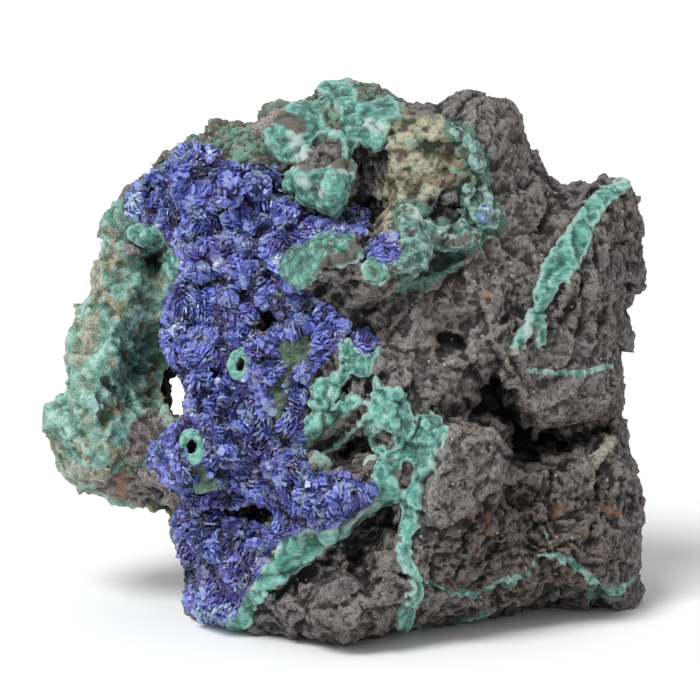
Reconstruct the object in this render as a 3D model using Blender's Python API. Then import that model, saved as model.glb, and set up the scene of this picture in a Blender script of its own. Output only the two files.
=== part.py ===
"""Azurite specimen: dark iron oxide rock with a druse of azurite crystals, and malachite crusts and veins.

Run with: blender --background --python part.py

The outlines are drawn in millimetres on a plane that leans back from the upright by LEAN, as a
person sees the specimen who looks down on it a little: x runs to the right and h up that plane.
Depth d runs square to the plane, away from that person. After the shape is made, the rock is
turned upright, so that it stands on Z = 0, with X to the right and Y away from the person.
"""

import math
import random

import bmesh
import bpy
import numpy as np
from mathutils import Matrix, Vector, noise
from mathutils.geometry import tessellate_polygon

MM = 0.001
LEAN = math.radians(12)
# Moves the middle of the whole specimen's box over the origin.
TO_ORIGIN = Vector((0.0, -6.7, 0.0))
# Neighbouring minerals keep this gap, and a sloping bed this many times as much along its depth.
GAP = 0.3
BED_MARGIN = 1.5
# Half the length of every cutter that runs through the whole rock.
REACH = 70.0

# The specimen's outline.
ROCK = [
    (-31, 4), (-30, 9), (-33, 16), (-33.5, 20), (-31.5, 22.5), (-39, 22), (-46.5, 23), (-51.5, 25),
    (-56.5, 29), (-60, 34), (-61, 39), (-59.5, 42.5), (-56.5, 44), (-55, 49.5), (-53, 55),
    (-52.5, 60), (-51.5, 64), (-53, 70), (-51, 72), (-48.5, 73.5), (-48, 79), (-45.5, 83), (-44, 86),
    (-39, 89), (-35.5, 90), (-35.5, 93.5), (-31, 95.5), (-27.5, 96), (-26, 98.5), (-20, 98.5),
    (-16.5, 101), (-11.5, 104), (-6, 103), (-4.5, 106), (0, 108), (4.5, 107), (10, 102.5),
    (13.5, 104), (16.5, 104), (20, 101), (23, 103), (28, 104.5), (33.5, 102.5), (35, 98),
    (37, 91.5), (40, 89), (41.5, 87), (49, 87), (52, 86), (56.5, 89), (58.5, 86), (60, 76),
    (59.5, 65.5), (56.5, 60), (56, 48), (57, 34), (60.5, 26), (60.5, 16), (59.5, 12), (60, 4),
    (56.5, 0.5), (52, 0), (47, 2), (40.5, 4), (32, 1.5), (21, -2), (12, -2.5), (4, -5), (-2, -6.5),
    (-9, -5), (-17, -2.5), (-24.5, -2), (-29, 0.5),
]  # fmt: skip

# What each mineral covers, seen from the front.
AZURITE = [
    (-43.5, 85), (-39, 89.5), (-35.5, 91), (-30.5, 95.5), (-25.5, 94), (-20, 90), (-14, 88),
    (-12, 82), (-4.5, 79.5), (1.5, 82.5), (4.5, 81.5), (3.5, 77.5), (-4, 76.5), (-12, 73),
    (-12.5, 69), (-6.5, 63), (0.5, 59.5), (-0.5, 54.5), (-4.5, 53.5), (-5.5, 49), (-8.5, 44),
    (-8.5, 35), (-5, 29), (1, 28), (6, 26.5), (-1, 23), (-8, 20), (-13, 16.5), (-17.5, 11.5),
    (-21, 6), (-24.5, -0.5), (-29.5, 0), (-32, 4), (-30.5, 9), (-34, 16), (-34, 20), (-31, 23.5),
    (-37, 27.5), (-39.5, 31.5), (-37, 36), (-32, 41.5), (-30.5, 46), (-33.5, 50), (-36.5, 56),
    (-36, 62), (-32, 68), (-31, 72), (-34, 75.5), (-37, 79), (-42, 81),
]  # fmt: skip
RIM = [
    (-26.5, -4), (-23.5, 1), (-20.5, 6), (-17, 11.5), (-12, 16.5), (-7.5, 19.5), (0, 22.5),
    (7, 26), (9.5, 25.5), (6.5, 23), (1, 20), (-4.5, 15.5), (-9, 11), (-14, 5), (-17.5, 0),
    (-20.5, -4),
]  # fmt: skip
CRUST = [
    (-2.5, 54), (1, 56.5), (4.5, 54), (8, 52), (11.5, 49.5), (11.5, 46), (14.5, 44), (19, 41.5),
    (19, 36), (17, 30), (16, 24), (14.5, 18), (13.5, 12), (16, 7), (15, 2), (14, -4), (11, -4),
    (10.5, 2), (11.5, 6), (10.5, 10.5), (10.5, 15), (11.5, 21.5), (10, 25), (8, 26.5), (6, 28),
    (0, 30), (-4, 30.5), (-7, 35), (-7.5, 40), (-5, 44), (-4, 49),
]  # fmt: skip
CROWN = [
    (-15, 93.5), (-12, 99), (-7.5, 102.5), (-5.5, 106), (0, 110), (4.5, 109), (10, 104),
    (13.5, 101), (10.5, 96.5), (9, 92), (5.5, 90), (1.5, 90.5), (2, 86), (0, 81), (-4, 80.5),
    (-7.5, 83), (-9.5, 86), (-12, 89.5),
]  # fmt: skip
LEDGE = [
    (-12.5, 72), (-9, 75), (-1, 76.5), (2, 76), (3, 74), (6, 71.5), (9.5, 69.5), (8.5, 66),
    (4.5, 64), (0, 64), (-4, 64.5), (-6.5, 66), (-10.5, 67), (-12.5, 69.5),
]  # fmt: skip
VEIN = [
    (56, 91), (60, 89), (57.5, 85.5), (53.5, 82), (50, 76.5), (47.5, 71), (44.5, 66.5),
    (41.5, 63.5), (39, 58.5), (36.5, 54.5), (34.5, 52.5), (33.5, 54.5), (35.5, 60), (38, 64),
    (40, 71), (44, 77), (49, 83), (52, 86),
]  # fmt: skip

# How deep the front and the back lie, across the specimen: (x, d).
FRONT_LOW = [
    (-62, 10), (-54, 2), (-46, -2), (-40, 2), (-36, 6), (-31, -14), (-24, -19), (-12, -24),
    (0, -30), (8, -31), (20, -27), (35, -18), (50, -8), (61, 2),
]  # fmt: skip
FRONT_HIGH = [
    (-62, 10), (-50, 0), (-42, -6), (-32, -12), (-20, -16), (-6, -17), (34, -14), (48, -8), (61, 0),
]  # fmt: skip
BACK = [(-62, 16), (-50, 22), (-38, 26), (-20, 30), (0, 33), (30, 33), (50, 28), (61, 18)]
# The front goes over from the low line to the high one between these heights.
LOW_ENDS, HIGH_STARTS = 70.0, 84.0
# Where the widest section lies between front and back, as a share of the depth.
WAIST = 0.4
# How far in from the outline the rock reaches its full depth.
ROUNDING = 10.0
# The share of the depth that is left at the outline itself.
EDGE_SHARE = 0.08

# Hollows (+) and lumps (-) of the front: x, h, half width, half height, turn in degrees, depth.
FRONT_STROKES = {
    "swelling of the ochre face": (19, 89, 13, 12, 0, -3),
    "pit low in the ochre face": (19, 76, 4, 3, 0, 5),
    "undercut below the ochre lip": (20, 67, 13, 4, 24, 5),
    "knob at the top right": (29, 98, 8, 7, 0, -5),
    "pit in that knob": (33, 95, 3, 3, 0, 5),
    "block right of the vein": (50, 70, 8, 17, 0, -5),
    "hollow in the malachite crust": (0, 35, 6, 3.5, 15, 9),
    "hollow below the ledge": (6, 59, 5, 4, 0, 8),
    "pit in the middle face": (21, 57, 5, 3, 10, 6),
    "second pit there": (13, 54, 3, 4, 0, 5),
    "slit in the azurite": (-24.6, 66.8, 4, 2, 0, 5),
    "slot beside the long vein": (5, 19, 4, 8, -35, 8),
    "groove under the rim": (-8, 8, 2.5, 12, -50, 4),
    "lump at the foot": (-3, 2, 13, 7, 0, -3),
    "face set back at the lower right": (44, 26, 9, 8, 0, 3),
    "bulge at the lower right": (50, 15, 9, 6, 0, -4),
    "overhang above the right foot": (34, 0, 20, 7, 0, 9),
    "swelling of the arm": (-52, 40, 8, 10, 0, -5),
    "hollow inner wall of the arm": (-39, 50, 5, 9, 0, 9),
    "pit in the arm": (-46, 42, 2.5, 5, 0, 5),
    "broken underside of the arm": (-43, 25, 9, 4, 0, 6),
    "azurite lump at the top": (-26, 87, 6, 6, 0, -4),
}
# Raised (+) and sunken (-) places of the front with a steep edge: their outline and how far they
# stand proud.
FRONT_PLATES = {
    "ochre face and its lip": ([
        (8, 100), (14, 100.5), (19, 99), (22.5, 97), (25, 93), (29.5, 86), (30.5, 80), (26.5, 77),
        (22.5, 73.5), (13, 71.5), (9.5, 69.5), (6, 70), (8, 76), (8, 92), (7, 97),
    ], 4.5),
    "lump that hangs from the crown": ([
        (-11, 87.5), (-6.5, 92), (-1, 96.5), (2, 89), (-0.5, 83), (-3, 80), (-5, 81.5), (-8, 84),
    ], 6.5),
    "recess beside that lump": ([(2, 91), (5.5, 92), (8, 90), (7.5, 77), (4, 74), (1, 79)], -8),
    "ledge": ([
        (-13.5, 70), (-0.5, 78), (3.5, 74), (9.5, 66.5), (4.5, 63), (-2, 63), (-6.5, 64.5),
    ], 4),
    "cavity under the roof": ([
        (30.5, 51), (21, 40.5), (26, 39), (31, 37.5), (31.5, 31.5), (33, 29.5), (38, 30), (46, 34.5),
        (55, 38), (54, 40.5), (45, 40), (38, 39.5), (34.5, 42), (32.5, 46),
    ], -14),
    "block below the cavity": ([
        (20, 39.5), (31, 37.5), (30.5, 32), (31, 28), (26, 23.5), (19, 19), (15, 20.5), (15.5, 29),
    ], 4.5),
    "cave above the arm": ([(-42, 73), (-39, 75), (-35.5, 74.5), (-35.5, 69.5), (-40, 70)], -13),
    "hole in the azurite": ([(-18, 58), (-15.5, 62.5), (-12, 60.5), (-13, 56.5)], -8),
    "azurite lump at the arm's foot": ([
        (-40, 30), (-38, 34), (-32, 39), (-26, 38), (-25, 29), (-28, 23.5), (-32, 23), (-37, 27),
    ], 7),
    "gap under the azurite column": ([(-27, 23), (-14, 24.5), (-13, 21), (-19, 15), (-25, 18)], -8),
    "azurite lump at the inner end": ([
        (-14, 26), (-10, 30.5), (-4, 28), (4, 27.5), (1, 24), (-5, 21), (-12, 20.5),
    ], 4),
}  # fmt: skip
# How wide a plate's edge is.
PLATE_EDGE = 2.0
# The back's own strokes (+ stands proud) and plates.
BACK_STROKES = {
    "scar low on the back": (-4, 30, 20, 16, 20, -3),
    "scar high on the back": (28, 72, 18, 18, 0, -6),
    "shoulder of the back": (-22, 66, 16, 20, 0, 5),
    "ridge down the back": (8, 50, 6, 34, -24, 4),
}
BACK_PLATES = {
    "broken face high on the back": ([
        (-26, 72), (-12, 62), (4, 67), (22, 60), (36, 70), (33, 86), (24, 97), (-6, 99), (-24, 88),
    ], -5),
    "block at the back's foot": ([(12, 3), (38, 1), (50, 12), (44, 27), (26, 35), (9, 24)], 5),
    "hollow beside that block": ([(-24, 14), (-8, 6), (5, 18), (4, 32), (-12, 43), (-27, 33)], -3),
}
# How much nearer the back comes for each millimetre of height, and the height where it is as given.
BACK_TAPER, TAPER_START = 0.2, 30.0
# The opening between the arm and the azurite column: x, h, half width, half height at each end.
OPENING_FRONT = (-34.0, 46.0, 3.4, 8.0)
OPENING_BACK = (-32.8, 45.0, 2.2, 5.0)

# Voxel sizes, and the height and size of the broken surface's coarse and fine lumps.
SHAPING_VOXEL, BODY_VOXEL = 1.6, 1.8
LUMP_HEIGHT, LUMP_SIZE = 4.5, 13.0
GRIT_HEIGHT, GRIT_SIZE = 2.0, 5.0
# Triangles that the whole rock keeps.
ROCK_TRIANGLES = 4600
# Triangles that the azurite's crust keeps before its crystals grow.
CRUST_TRIANGLES = 420

# Azurite crystals: how many blades, their size, and how far they lie apart.
BLADES = 90
BLADE_WIDTH, BLADE_THICKNESS, BLADE_LENGTH = 5.0, 1.7, 5.0
BLADE_SPACING = 3.6
# How far a blade may tilt from the crust's own normal, and how much its size varies.
BLADE_TILT, BLADE_SIZES = 0.45, (0.75, 1.25)
# Half width, half thickness and place along a blade, from its root to its edge.
BLADE_SECTIONS = [(0.50, 0.50, -0.45), (0.36, 0.12, 0.55)]
# Crystals grow on the side of the crust that looks this way.
OPEN_SIDE = Vector((-0.35, -0.9, 0.25)).normalized()

# Each mineral: outline, the depth of its bed at its left and right ends, colour, roughness.
BLUE = (0.055, 0.06, 0.30, 1)
GREEN = (0.13, 0.46, 0.36, 1)
BROWN = (0.12, 0.105, 0.10, 1)
MINERALS = {
    "azurite_druse": (AZURITE, (6, -16), BLUE, 0.3),
    "malachite_crown": (CROWN, (-6, -5), GREEN, 0.6),
    "malachite_ledge": (LEDGE, (-14, -18), GREEN, 0.6),
    "malachite_crust": (CRUST, (-16, -17), GREEN, 0.6),
    "malachite_rim": (RIM, (-8, -21), GREEN, 0.5),
    "malachite_vein": (VEIN, (-8, 8), GREEN, 0.5),
}


def clear_scene():
    for obj in list(bpy.data.objects):
        bpy.data.objects.remove(obj)


def material(name, colour, roughness):
    made = bpy.data.materials.new(name)
    made.use_nodes = True
    shader = made.node_tree.nodes["Principled BSDF"]
    shader.inputs["Base Color"].default_value = colour
    shader.inputs["Roughness"].default_value = roughness
    shader.inputs["Metallic"].default_value = 0.0
    return made


def object_of(name, mesh_edit):
    """A new object from a bmesh, which is freed."""
    mesh = bpy.data.meshes.new(name)
    bmesh.ops.recalc_face_normals(mesh_edit, faces=mesh_edit.faces)
    mesh_edit.to_mesh(mesh)
    mesh_edit.free()
    obj = bpy.data.objects.new(name, mesh)
    bpy.context.scene.collection.objects.link(obj)
    return obj


def bake(obj):
    """The object's mesh becomes what its modifiers make of it."""
    graph = bpy.context.evaluated_depsgraph_get()
    shaped = bpy.data.meshes.new_from_object(obj.evaluated_get(graph))
    obj.modifiers.clear()
    obj.data = shaped


def remesh(obj, voxel):
    modifier = obj.modifiers.new("Remesh", "REMESH")
    modifier.mode = "VOXEL"
    modifier.voxel_size = voxel * MM
    bake(obj)


def boolean(obj, other, operation, solver="EXACT"):
    """Joins, cuts or keeps what is common, and leaves the other object as it was."""
    modifier = obj.modifiers.new("Boolean", "BOOLEAN")
    modifier.operation = operation
    modifier.solver = solver
    modifier.object = other
    bake(obj)


def points_of(obj):
    """The mesh's vertices in millimetres, one row each."""
    flat = np.empty(len(obj.data.vertices) * 3, np.float32)
    obj.data.vertices.foreach_get("co", flat)
    return flat.reshape(-1, 3).astype(float) / MM


def set_points(obj, points):
    obj.data.vertices.foreach_set("co", (points * MM).astype(np.float32).ravel())
    obj.data.update()


def grown(outline, distance):
    """The outline moved outwards by a distance, or inwards by a negative one."""
    points = np.array(outline, float)
    before, after = np.roll(points, 1, axis=0), np.roll(points, -1, axis=0)
    doubled_area = (points[:, 0] * after[:, 1] - after[:, 0] * points[:, 1]).sum()
    along = after - before
    outward = np.stack([along[:, 1], -along[:, 0]], axis=1) * math.copysign(1, doubled_area)
    return points + outward / np.linalg.norm(outward, axis=1)[:, None] * distance


def prism(name, outline, front, back):
    """A solid with this outline; front and back are the depths of its ends, one for each point."""
    made = bmesh.new()
    near = [made.verts.new((x * MM, d * MM, h * MM)) for (x, h), d in zip(outline, front)]
    far = [made.verts.new((x * MM, d * MM, h * MM)) for (x, h), d in zip(outline, back)]
    for corners in tessellate_polygon([[Vector((x, h, 0)) for x, h in outline]]):
        made.faces.new([near[i] for i in corners])
        made.faces.new([far[i] for i in corners])
    for i in range(len(near)):
        made.faces.new((near[i - 1], near[i], far[i], far[i - 1]))
    return object_of(name, made)


def distance_to(outline, points):
    """How far each (x, h) point lies from the outline."""
    ends = np.array(outline, float)
    nearest = np.full(len(points), np.inf)
    for start, end in zip(ends, np.roll(ends, -1, axis=0)):
        along = end - start
        share = np.clip((points - start) @ along / (along @ along), 0, 1)
        gap = np.linalg.norm(points - start - share[:, None] * along, axis=1)
        nearest = np.minimum(nearest, gap)
    return nearest


def smooth(share):
    share = np.clip(share, 0, 1)
    return share * share * (3 - 2 * share)


def within(outline, x, h):
    """Which points lie inside the outline: those with an odd number of its edges to their right."""
    odd = np.zeros(len(x), bool)
    for (x1, h1), (x2, h2) in zip(outline, outline[1:] + outline[:1]):
        if h1 == h2:
            continue
        crossing = x1 + (h - h1) / (h2 - h1) * (x2 - x1)
        odd ^= ((h1 > h) != (h2 > h)) & (crossing > x)
    return odd


def plate_height(plates, x, h):
    """The sum of the plates at each point."""
    total = np.zeros_like(x)
    points = np.stack([x, h], axis=1)
    for outline, height in plates.values():
        inward = np.where(within(outline, x, h), 1, -1) * distance_to(outline, points)
        total += height * smooth(inward / PLATE_EDGE + 0.5)
    return total


def stroke_depth(strokes, x, h):
    """The sum of the strokes at each point."""
    total = np.zeros_like(x)
    for centre_x, centre_h, half_width, half_height, turn, depth in strokes.values():
        angle = math.radians(turn)
        across = (x - centre_x) * math.cos(angle) + (h - centre_h) * math.sin(angle)
        up = (h - centre_h) * math.cos(angle) - (x - centre_x) * math.sin(angle)
        # A stroke fades out at about 1.4 times its half width.
        distance = np.hypot(across / half_width, up / half_height)
        total += depth * smooth(1.5 - distance)
    return total


def line_depth(line, x):
    return np.interp(x, [point[0] for point in line], [point[1] for point in line])


def front_depth(x, h):
    high = smooth((h - LOW_ENDS) / (HIGH_STARTS - LOW_ENDS))
    plain = line_depth(FRONT_LOW, x) * (1 - high) + line_depth(FRONT_HIGH, x) * high
    return plain + stroke_depth(FRONT_STROKES, x, h) - plate_height(FRONT_PLATES, x, h)


def back_depth(x, h):
    plain = line_depth(BACK, x) - BACK_TAPER * (h - TAPER_START)
    return plain + stroke_depth(BACK_STROKES, x, h) + plate_height(BACK_PLATES, x, h)


def shape_depth(obj, half_slab):
    """Turns a slab of even thickness into the rock's own depths, thin at the outline."""
    points = points_of(obj)
    x, h = points[:, 0], points[:, 2]
    inside = distance_to(ROCK, points[:, [0, 2]])
    rounded = np.sqrt(1 - (1 - np.clip(inside / ROUNDING, 0, 1)) ** 2)
    share = EDGE_SHARE + (1 - EDGE_SHARE) * rounded
    front, back = front_depth(x, h), back_depth(x, h)
    waist = front + WAIST * (back - front)
    side = np.clip(points[:, 1] / half_slab, -1, 1)
    reach = np.where(side < 0, waist - front, back - waist)
    points[:, 1] = waist + side * reach * share
    set_points(obj, points)


def roughen(obj, height, size, seed):
    """Moves the surface out in rounded lumps of a size, with creases and pits between them."""
    points = points_of(obj)
    normals = np.array([vertex.normal for vertex in obj.data.vertices])
    shift = Vector((seed * 13.7, seed * 5.1, seed * 9.3))
    swell = np.array([noise.turbulence(Vector(point) / size + shift, 2, True) for point in points])
    set_points(obj, points + normals * (swell - swell.mean())[:, None] * height)


def decimate(obj, triangles):
    modifier = obj.modifiers.new("Decimate", "DECIMATE")
    modifier.ratio = triangles / sum(len(face.vertices) - 2 for face in obj.data.polygons)
    bake(obj)


def stand_up(obj):
    """From the leaning plane to the upright frame, with the origin under the middle."""
    upright = Matrix.Rotation(-LEAN, 4, "X")
    obj.data.transform(Matrix.Translation(TO_ORIGIN * MM) @ upright)
    obj.data.update()


def box_below_floor():
    made = bmesh.new()
    side = 2 * REACH * 2 * MM
    bmesh.ops.create_cube(made, size=side)
    bmesh.ops.translate(made, verts=made.verts, vec=(0, 0, -side / 2))
    return object_of("floor_cutter", made)


def opening_cutter():
    """The tapered way through between the arm and the azurite column."""
    sides = 14
    turns = [2 * math.pi * i / sides for i in range(sides)]
    made = bmesh.new()
    rings = []
    for depth, (x, h, half_width, half_height) in ((-REACH, OPENING_FRONT), (REACH, OPENING_BACK)):
        ring = [(x + half_width * math.cos(t), h + half_height * math.sin(t)) for t in turns]
        rings.append([made.verts.new((a * MM, depth * MM, b * MM)) for a, b in ring])
    for ring in rings:
        made.faces.new(ring)
    for i in range(sides):
        made.faces.new((rings[0][i - 1], rings[0][i], rings[1][i], rings[1][i - 1]))
    cutter = object_of("opening_cutter", made)
    stand_up(cutter)
    return cutter


def largest_piece(obj):
    """Removes the crumbs that a cut leaves beside the main piece."""
    edit = bmesh.new()
    edit.from_mesh(obj.data)
    left = set(edit.verts)
    pieces = []
    while left:
        piece, front = set(), [left.pop()]
        while front:
            vertex = front.pop()
            piece.add(vertex)
            near = [edge.other_vert(vertex) for edge in vertex.link_edges]
            front += [other for other in near if other in left]
            left.difference_update(near)
        pieces.append(piece)
    pieces.sort(key=len)
    crumbs = [vertex for piece in pieces[:-1] for vertex in piece]
    bmesh.ops.delete(edit, geom=crumbs, context="VERTS")
    edit.to_mesh(obj.data)
    edit.free()


def whole_rock():
    slab = REACH / 2
    rock = prism("matrix_rock", ROCK, [-slab] * len(ROCK), [slab] * len(ROCK))
    remesh(rock, SHAPING_VOXEL)
    shape_depth(rock, slab)
    remesh(rock, BODY_VOXEL)
    roughen(rock, LUMP_HEIGHT, LUMP_SIZE, seed=1)
    roughen(rock, GRIT_HEIGHT, GRIT_SIZE, seed=2)
    remesh(rock, BODY_VOXEL)
    decimate(rock, ROCK_TRIANGLES)
    stand_up(rock)
    for cutter in (box_below_floor(), opening_cutter()):
        boolean(rock, cutter, "DIFFERENCE")
        bpy.data.objects.remove(cutter)
    largest_piece(rock)
    return rock


def mineral_cutter(name, outline, bed, margin):
    """What a mineral takes out of the rock, with a margin all round."""
    edge = grown(outline, margin)
    ends = [min(x for x, _ in outline), max(x for x, _ in outline)]
    back = np.interp(edge[:, 0], ends, bed) + BED_MARGIN * margin
    cutter = prism(name, edge, [-REACH] * len(edge), back)
    stand_up(cutter)
    return cutter


def blade(centre, outward, along, size):
    """One flat azurite crystal with a chisel edge, its root in the crust."""
    across = outward.cross(along).normalized()
    width, thickness, length = (part * size * MM for part in (BLADE_WIDTH, BLADE_THICKNESS, BLADE_LENGTH))
    made = bmesh.new()
    for half_width, half_thickness, place in BLADE_SECTIONS:
        for a, b in [(1, 1), (-1, 1), (-1, -1), (1, -1)]:
            side = along * a * half_width * width + across * b * half_thickness * thickness
            made.verts.new(centre + outward * place * length + side)
    bmesh.ops.convex_hull(made, input=made.verts)
    return object_of("blade", made)


def crystal_sites(druse, chance):
    """Middles and normals of the druse's faces that look outwards, each a spacing from the others."""
    faces = [face for face in druse.data.polygons if face.normal.dot(OPEN_SIDE) > 0.15]
    chance.shuffle(faces)
    chosen = []
    for face in faces:
        if all((face.center - other.center).length > BLADE_SPACING * MM for other in chosen):
            chosen.append(face)
    return [(face.center.copy(), face.normal.copy()) for face in chosen[:BLADES]]


def grow_crystals(druse):
    chance = random.Random(13)
    for centre, normal in crystal_sites(druse, chance):
        wander = Vector([chance.uniform(-1, 1) for _ in range(3)])
        outward = (normal + wander * BLADE_TILT).normalized()
        along = outward.cross(Vector([chance.uniform(-1, 1) for _ in range(3)])).normalized()
        crystal = blade(centre, outward, along, chance.uniform(*BLADE_SIZES))
        # Crystals cross each other at every angle, which the exact solver can leave open.
        boolean(druse, crystal, "UNION", solver="MANIFOLD")
        bpy.data.objects.remove(crystal)


def split_minerals(rock):
    """Cuts each mineral out of the rock; what is left is the matrix."""
    pockets = []
    for name, (outline, bed, colour, roughness) in MINERALS.items():
        mineral = rock.copy()
        mineral.name = name
        mineral.data = rock.data.copy()
        bpy.context.scene.collection.objects.link(mineral)
        own_space = mineral_cutter("own_space", outline, bed, 0.0)
        boolean(mineral, own_space, "INTERSECT")
        largest_piece(mineral)
        if name == "azurite_druse":
            decimate(mineral, CRUST_TRIANGLES)
            grow_crystals(mineral)
            boolean(mineral, own_space, "INTERSECT")
        bpy.data.objects.remove(own_space)
        for pocket in pockets:
            boolean(mineral, pocket, "DIFFERENCE")
        largest_piece(mineral)
        mineral.data.materials.clear()
        mineral.data.materials.append(material(name, colour, roughness))
        pockets.append(mineral_cutter("pocket", outline, bed, GAP))
    for pocket in pockets:
        boolean(rock, pocket, "DIFFERENCE")
        bpy.data.objects.remove(pocket)
    largest_piece(rock)
    rock.data.materials.clear()
    rock.data.materials.append(material("matrix_rock", BROWN, 0.9))


def main():
    clear_scene()
    rock = whole_rock()
    split_minerals(rock)


main()
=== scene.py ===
# %% [markdown]
# # Azurite specimen
#
# A hand-sized piece of dark iron oxide rock with a column of azurite crystals down its left side,
# malachite crusts and veins, and an arm of green-coated rock at the far left. The CAD model gives
# the form of each mineral. Here each one gets the surface that such a mineral breaks or grows with.

# %% Load the frame
import math

import bpy
import numpy as np
from mathutils import Matrix, Vector
from mathutils.bvhtree import BVHTree
from mathutils.kdtree import KDTree


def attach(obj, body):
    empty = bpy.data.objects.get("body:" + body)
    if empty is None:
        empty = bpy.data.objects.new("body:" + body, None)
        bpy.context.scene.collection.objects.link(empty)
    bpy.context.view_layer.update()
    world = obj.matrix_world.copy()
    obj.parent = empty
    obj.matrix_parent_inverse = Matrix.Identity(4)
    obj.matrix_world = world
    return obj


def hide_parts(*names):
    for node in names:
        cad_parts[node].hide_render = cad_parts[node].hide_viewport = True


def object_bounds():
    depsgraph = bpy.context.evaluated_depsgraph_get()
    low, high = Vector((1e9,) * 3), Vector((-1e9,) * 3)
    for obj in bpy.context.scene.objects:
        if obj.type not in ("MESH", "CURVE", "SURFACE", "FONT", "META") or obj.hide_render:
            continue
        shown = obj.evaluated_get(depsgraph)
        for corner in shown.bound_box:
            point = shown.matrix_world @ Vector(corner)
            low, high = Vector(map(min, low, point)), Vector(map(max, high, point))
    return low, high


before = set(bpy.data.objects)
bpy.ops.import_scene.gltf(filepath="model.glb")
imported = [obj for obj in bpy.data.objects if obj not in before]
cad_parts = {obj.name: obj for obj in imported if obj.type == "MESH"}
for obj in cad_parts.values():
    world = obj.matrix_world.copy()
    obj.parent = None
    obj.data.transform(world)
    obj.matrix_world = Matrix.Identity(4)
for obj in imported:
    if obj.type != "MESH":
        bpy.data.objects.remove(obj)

cad_box = [list(corner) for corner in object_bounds()]
BOX_LOW, BOX_HIGH = np.array(cad_box)
print("CAD box, mm:", [[round(side * 1000, 1) for side in corner] for corner in cad_box])

# %% [markdown]
# ## Places on the specimen
#
# A person looks down on the specimen a little, so places on it are drawn on a plane that leans
# back by that angle: x to the right and h up the plane, in millimetres, with the depth d square to
# it. Two functions turn those places into the frame's own coordinates and back.

# %% The leaning plane
MM = 0.001
LEAN = math.radians(12)
# Where the plane's zero lies in the frame, in millimetres.
PLANE_ZERO = np.array([0.0, -6.7, 0.0])
# The value of a field where its mark is nowhere near.
NOWHERE = -9


def to_plane(points):
    """Frame points in metres to (x, d, h) rows in millimetres."""
    x, y, z = (np.asarray(points, float).reshape(-1, 3) / MM - PLANE_ZERO).T
    return np.stack([
        x, y * math.cos(LEAN) - z * math.sin(LEAN), y * math.sin(LEAN) + z * math.cos(LEAN),
    ], axis=1)


def to_frame(places):
    """(x, d, h) rows in millimetres to frame points in metres."""
    x, d, h = np.asarray(places, float).reshape(-1, 3).T
    turned = np.stack([
        x, d * math.cos(LEAN) + h * math.sin(LEAN), h * math.cos(LEAN) - d * math.sin(LEAN),
    ], axis=1)
    return (turned + PLANE_ZERO) * MM


def smooth(share):
    share = np.clip(share, 0, 1)
    return share * share * (3 - 2 * share)


def distance_to_line(line, x, h):
    """How far each point lies from an open line of points, in millimetres."""
    points = np.stack([x, h], axis=1)
    nearest = np.full(len(x), np.inf)
    turns = np.array(line, float)
    for start, end in zip(turns, turns[1:]):
        along = end - start
        share = np.clip((points - start) @ along / (along @ along), 0, 1)
        nearest = np.minimum(nearest, np.linalg.norm(points - start - share[:, None] * along, axis=1))
    return nearest


def distance_inside(outline, x, h):
    """How far each point lies inside an outline, in millimetres; it is negative outside."""
    closed = np.array([*outline, outline[0]], float)
    odd = np.zeros(len(x), bool)
    for start, end in zip(closed, closed[1:]):
        along = end - start
        if along[1]:
            crossing = start[0] + (h - start[1]) / along[1] * along[0]
            odd ^= ((start[1] > h) != (end[1] > h)) & (crossing > x)
    nearest = distance_to_line(closed, x, h)
    return np.where(odd, nearest, -nearest)


# %% [markdown]
# ## Working on a piece
#
# The surfaces are made the way a sculptor in Blender would work: a copy of a CAD solid is
# remeshed into small even quads, and Displace modifiers with Blender's own textures push it in and
# out, from the coarse lumps to the fine grit. Each modifier is applied before the next one.

# %% Copying and modifiers
def activate(piece):
    bpy.ops.object.select_all(action="DESELECT")
    piece.select_set(True)
    bpy.context.view_layer.objects.active = piece


def modify(piece, kind, **settings):
    """Adds a modifier, sets its properties and applies it."""
    modifier = piece.modifiers.new(kind.title(), kind)
    for key, value in settings.items():
        setattr(modifier, key, value)
    activate(piece)
    bpy.ops.object.modifier_apply(modifier=modifier.name)


def on_whole_mesh(operation, **settings):
    """Runs one edit mode operation on all of the active piece."""
    bpy.ops.object.mode_set(mode="EDIT")
    bpy.ops.mesh.select_all(action="SELECT")
    operation(**settings)
    bpy.ops.object.mode_set(mode="OBJECT")


def copy_of(nodes, name):
    """One new piece from copies of CAD nodes, with their loose triangles merged."""
    bpy.ops.object.select_all(action="DESELECT")
    copies = []
    for node in nodes:
        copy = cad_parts[node].copy()
        copy.data = copy.data.copy()
        copy.parent = None
        for key in list(copy.keys()):
            del copy[key]
        bpy.context.scene.collection.objects.link(copy)
        copy.select_set(True)
        copies.append(copy)
    piece = copies[0]
    bpy.context.view_layer.objects.active = piece
    if len(copies) > 1:
        bpy.ops.object.join()
    on_whole_mesh(bpy.ops.mesh.remove_doubles, threshold=0.001 * MM)
    piece.name = piece.data.name = name
    piece.data.materials.clear()
    return piece


def swell(piece, distance):
    """Moves the whole surface out by a distance in millimetres."""
    modify(piece, "DISPLACE", strength=distance * MM, mid_level=0)


def remesh(piece, voxel):
    modify(piece, "REMESH", mode="VOXEL", voxel_size=voxel * MM, use_smooth_shade=True)


def soften(piece, rounds):
    modify(piece, "SMOOTH", factor=0.5, iterations=rounds)


def texture(name, kind, size, **settings):
    """One of Blender's textures with features of a size in millimetres."""
    made = bpy.data.textures.new(name, kind)
    made.noise_scale = size * MM
    for key, value in settings.items():
        setattr(made, key, value)
    return made


def displace(piece, pattern, depth, group="", mid=0.5):
    """Pushes the surface out where the texture is light and in where it is dark."""
    modify(piece, "DISPLACE", texture=pattern, texture_coords="LOCAL", strength=depth * MM, mid_level=mid,
           vertex_group=group)


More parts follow.
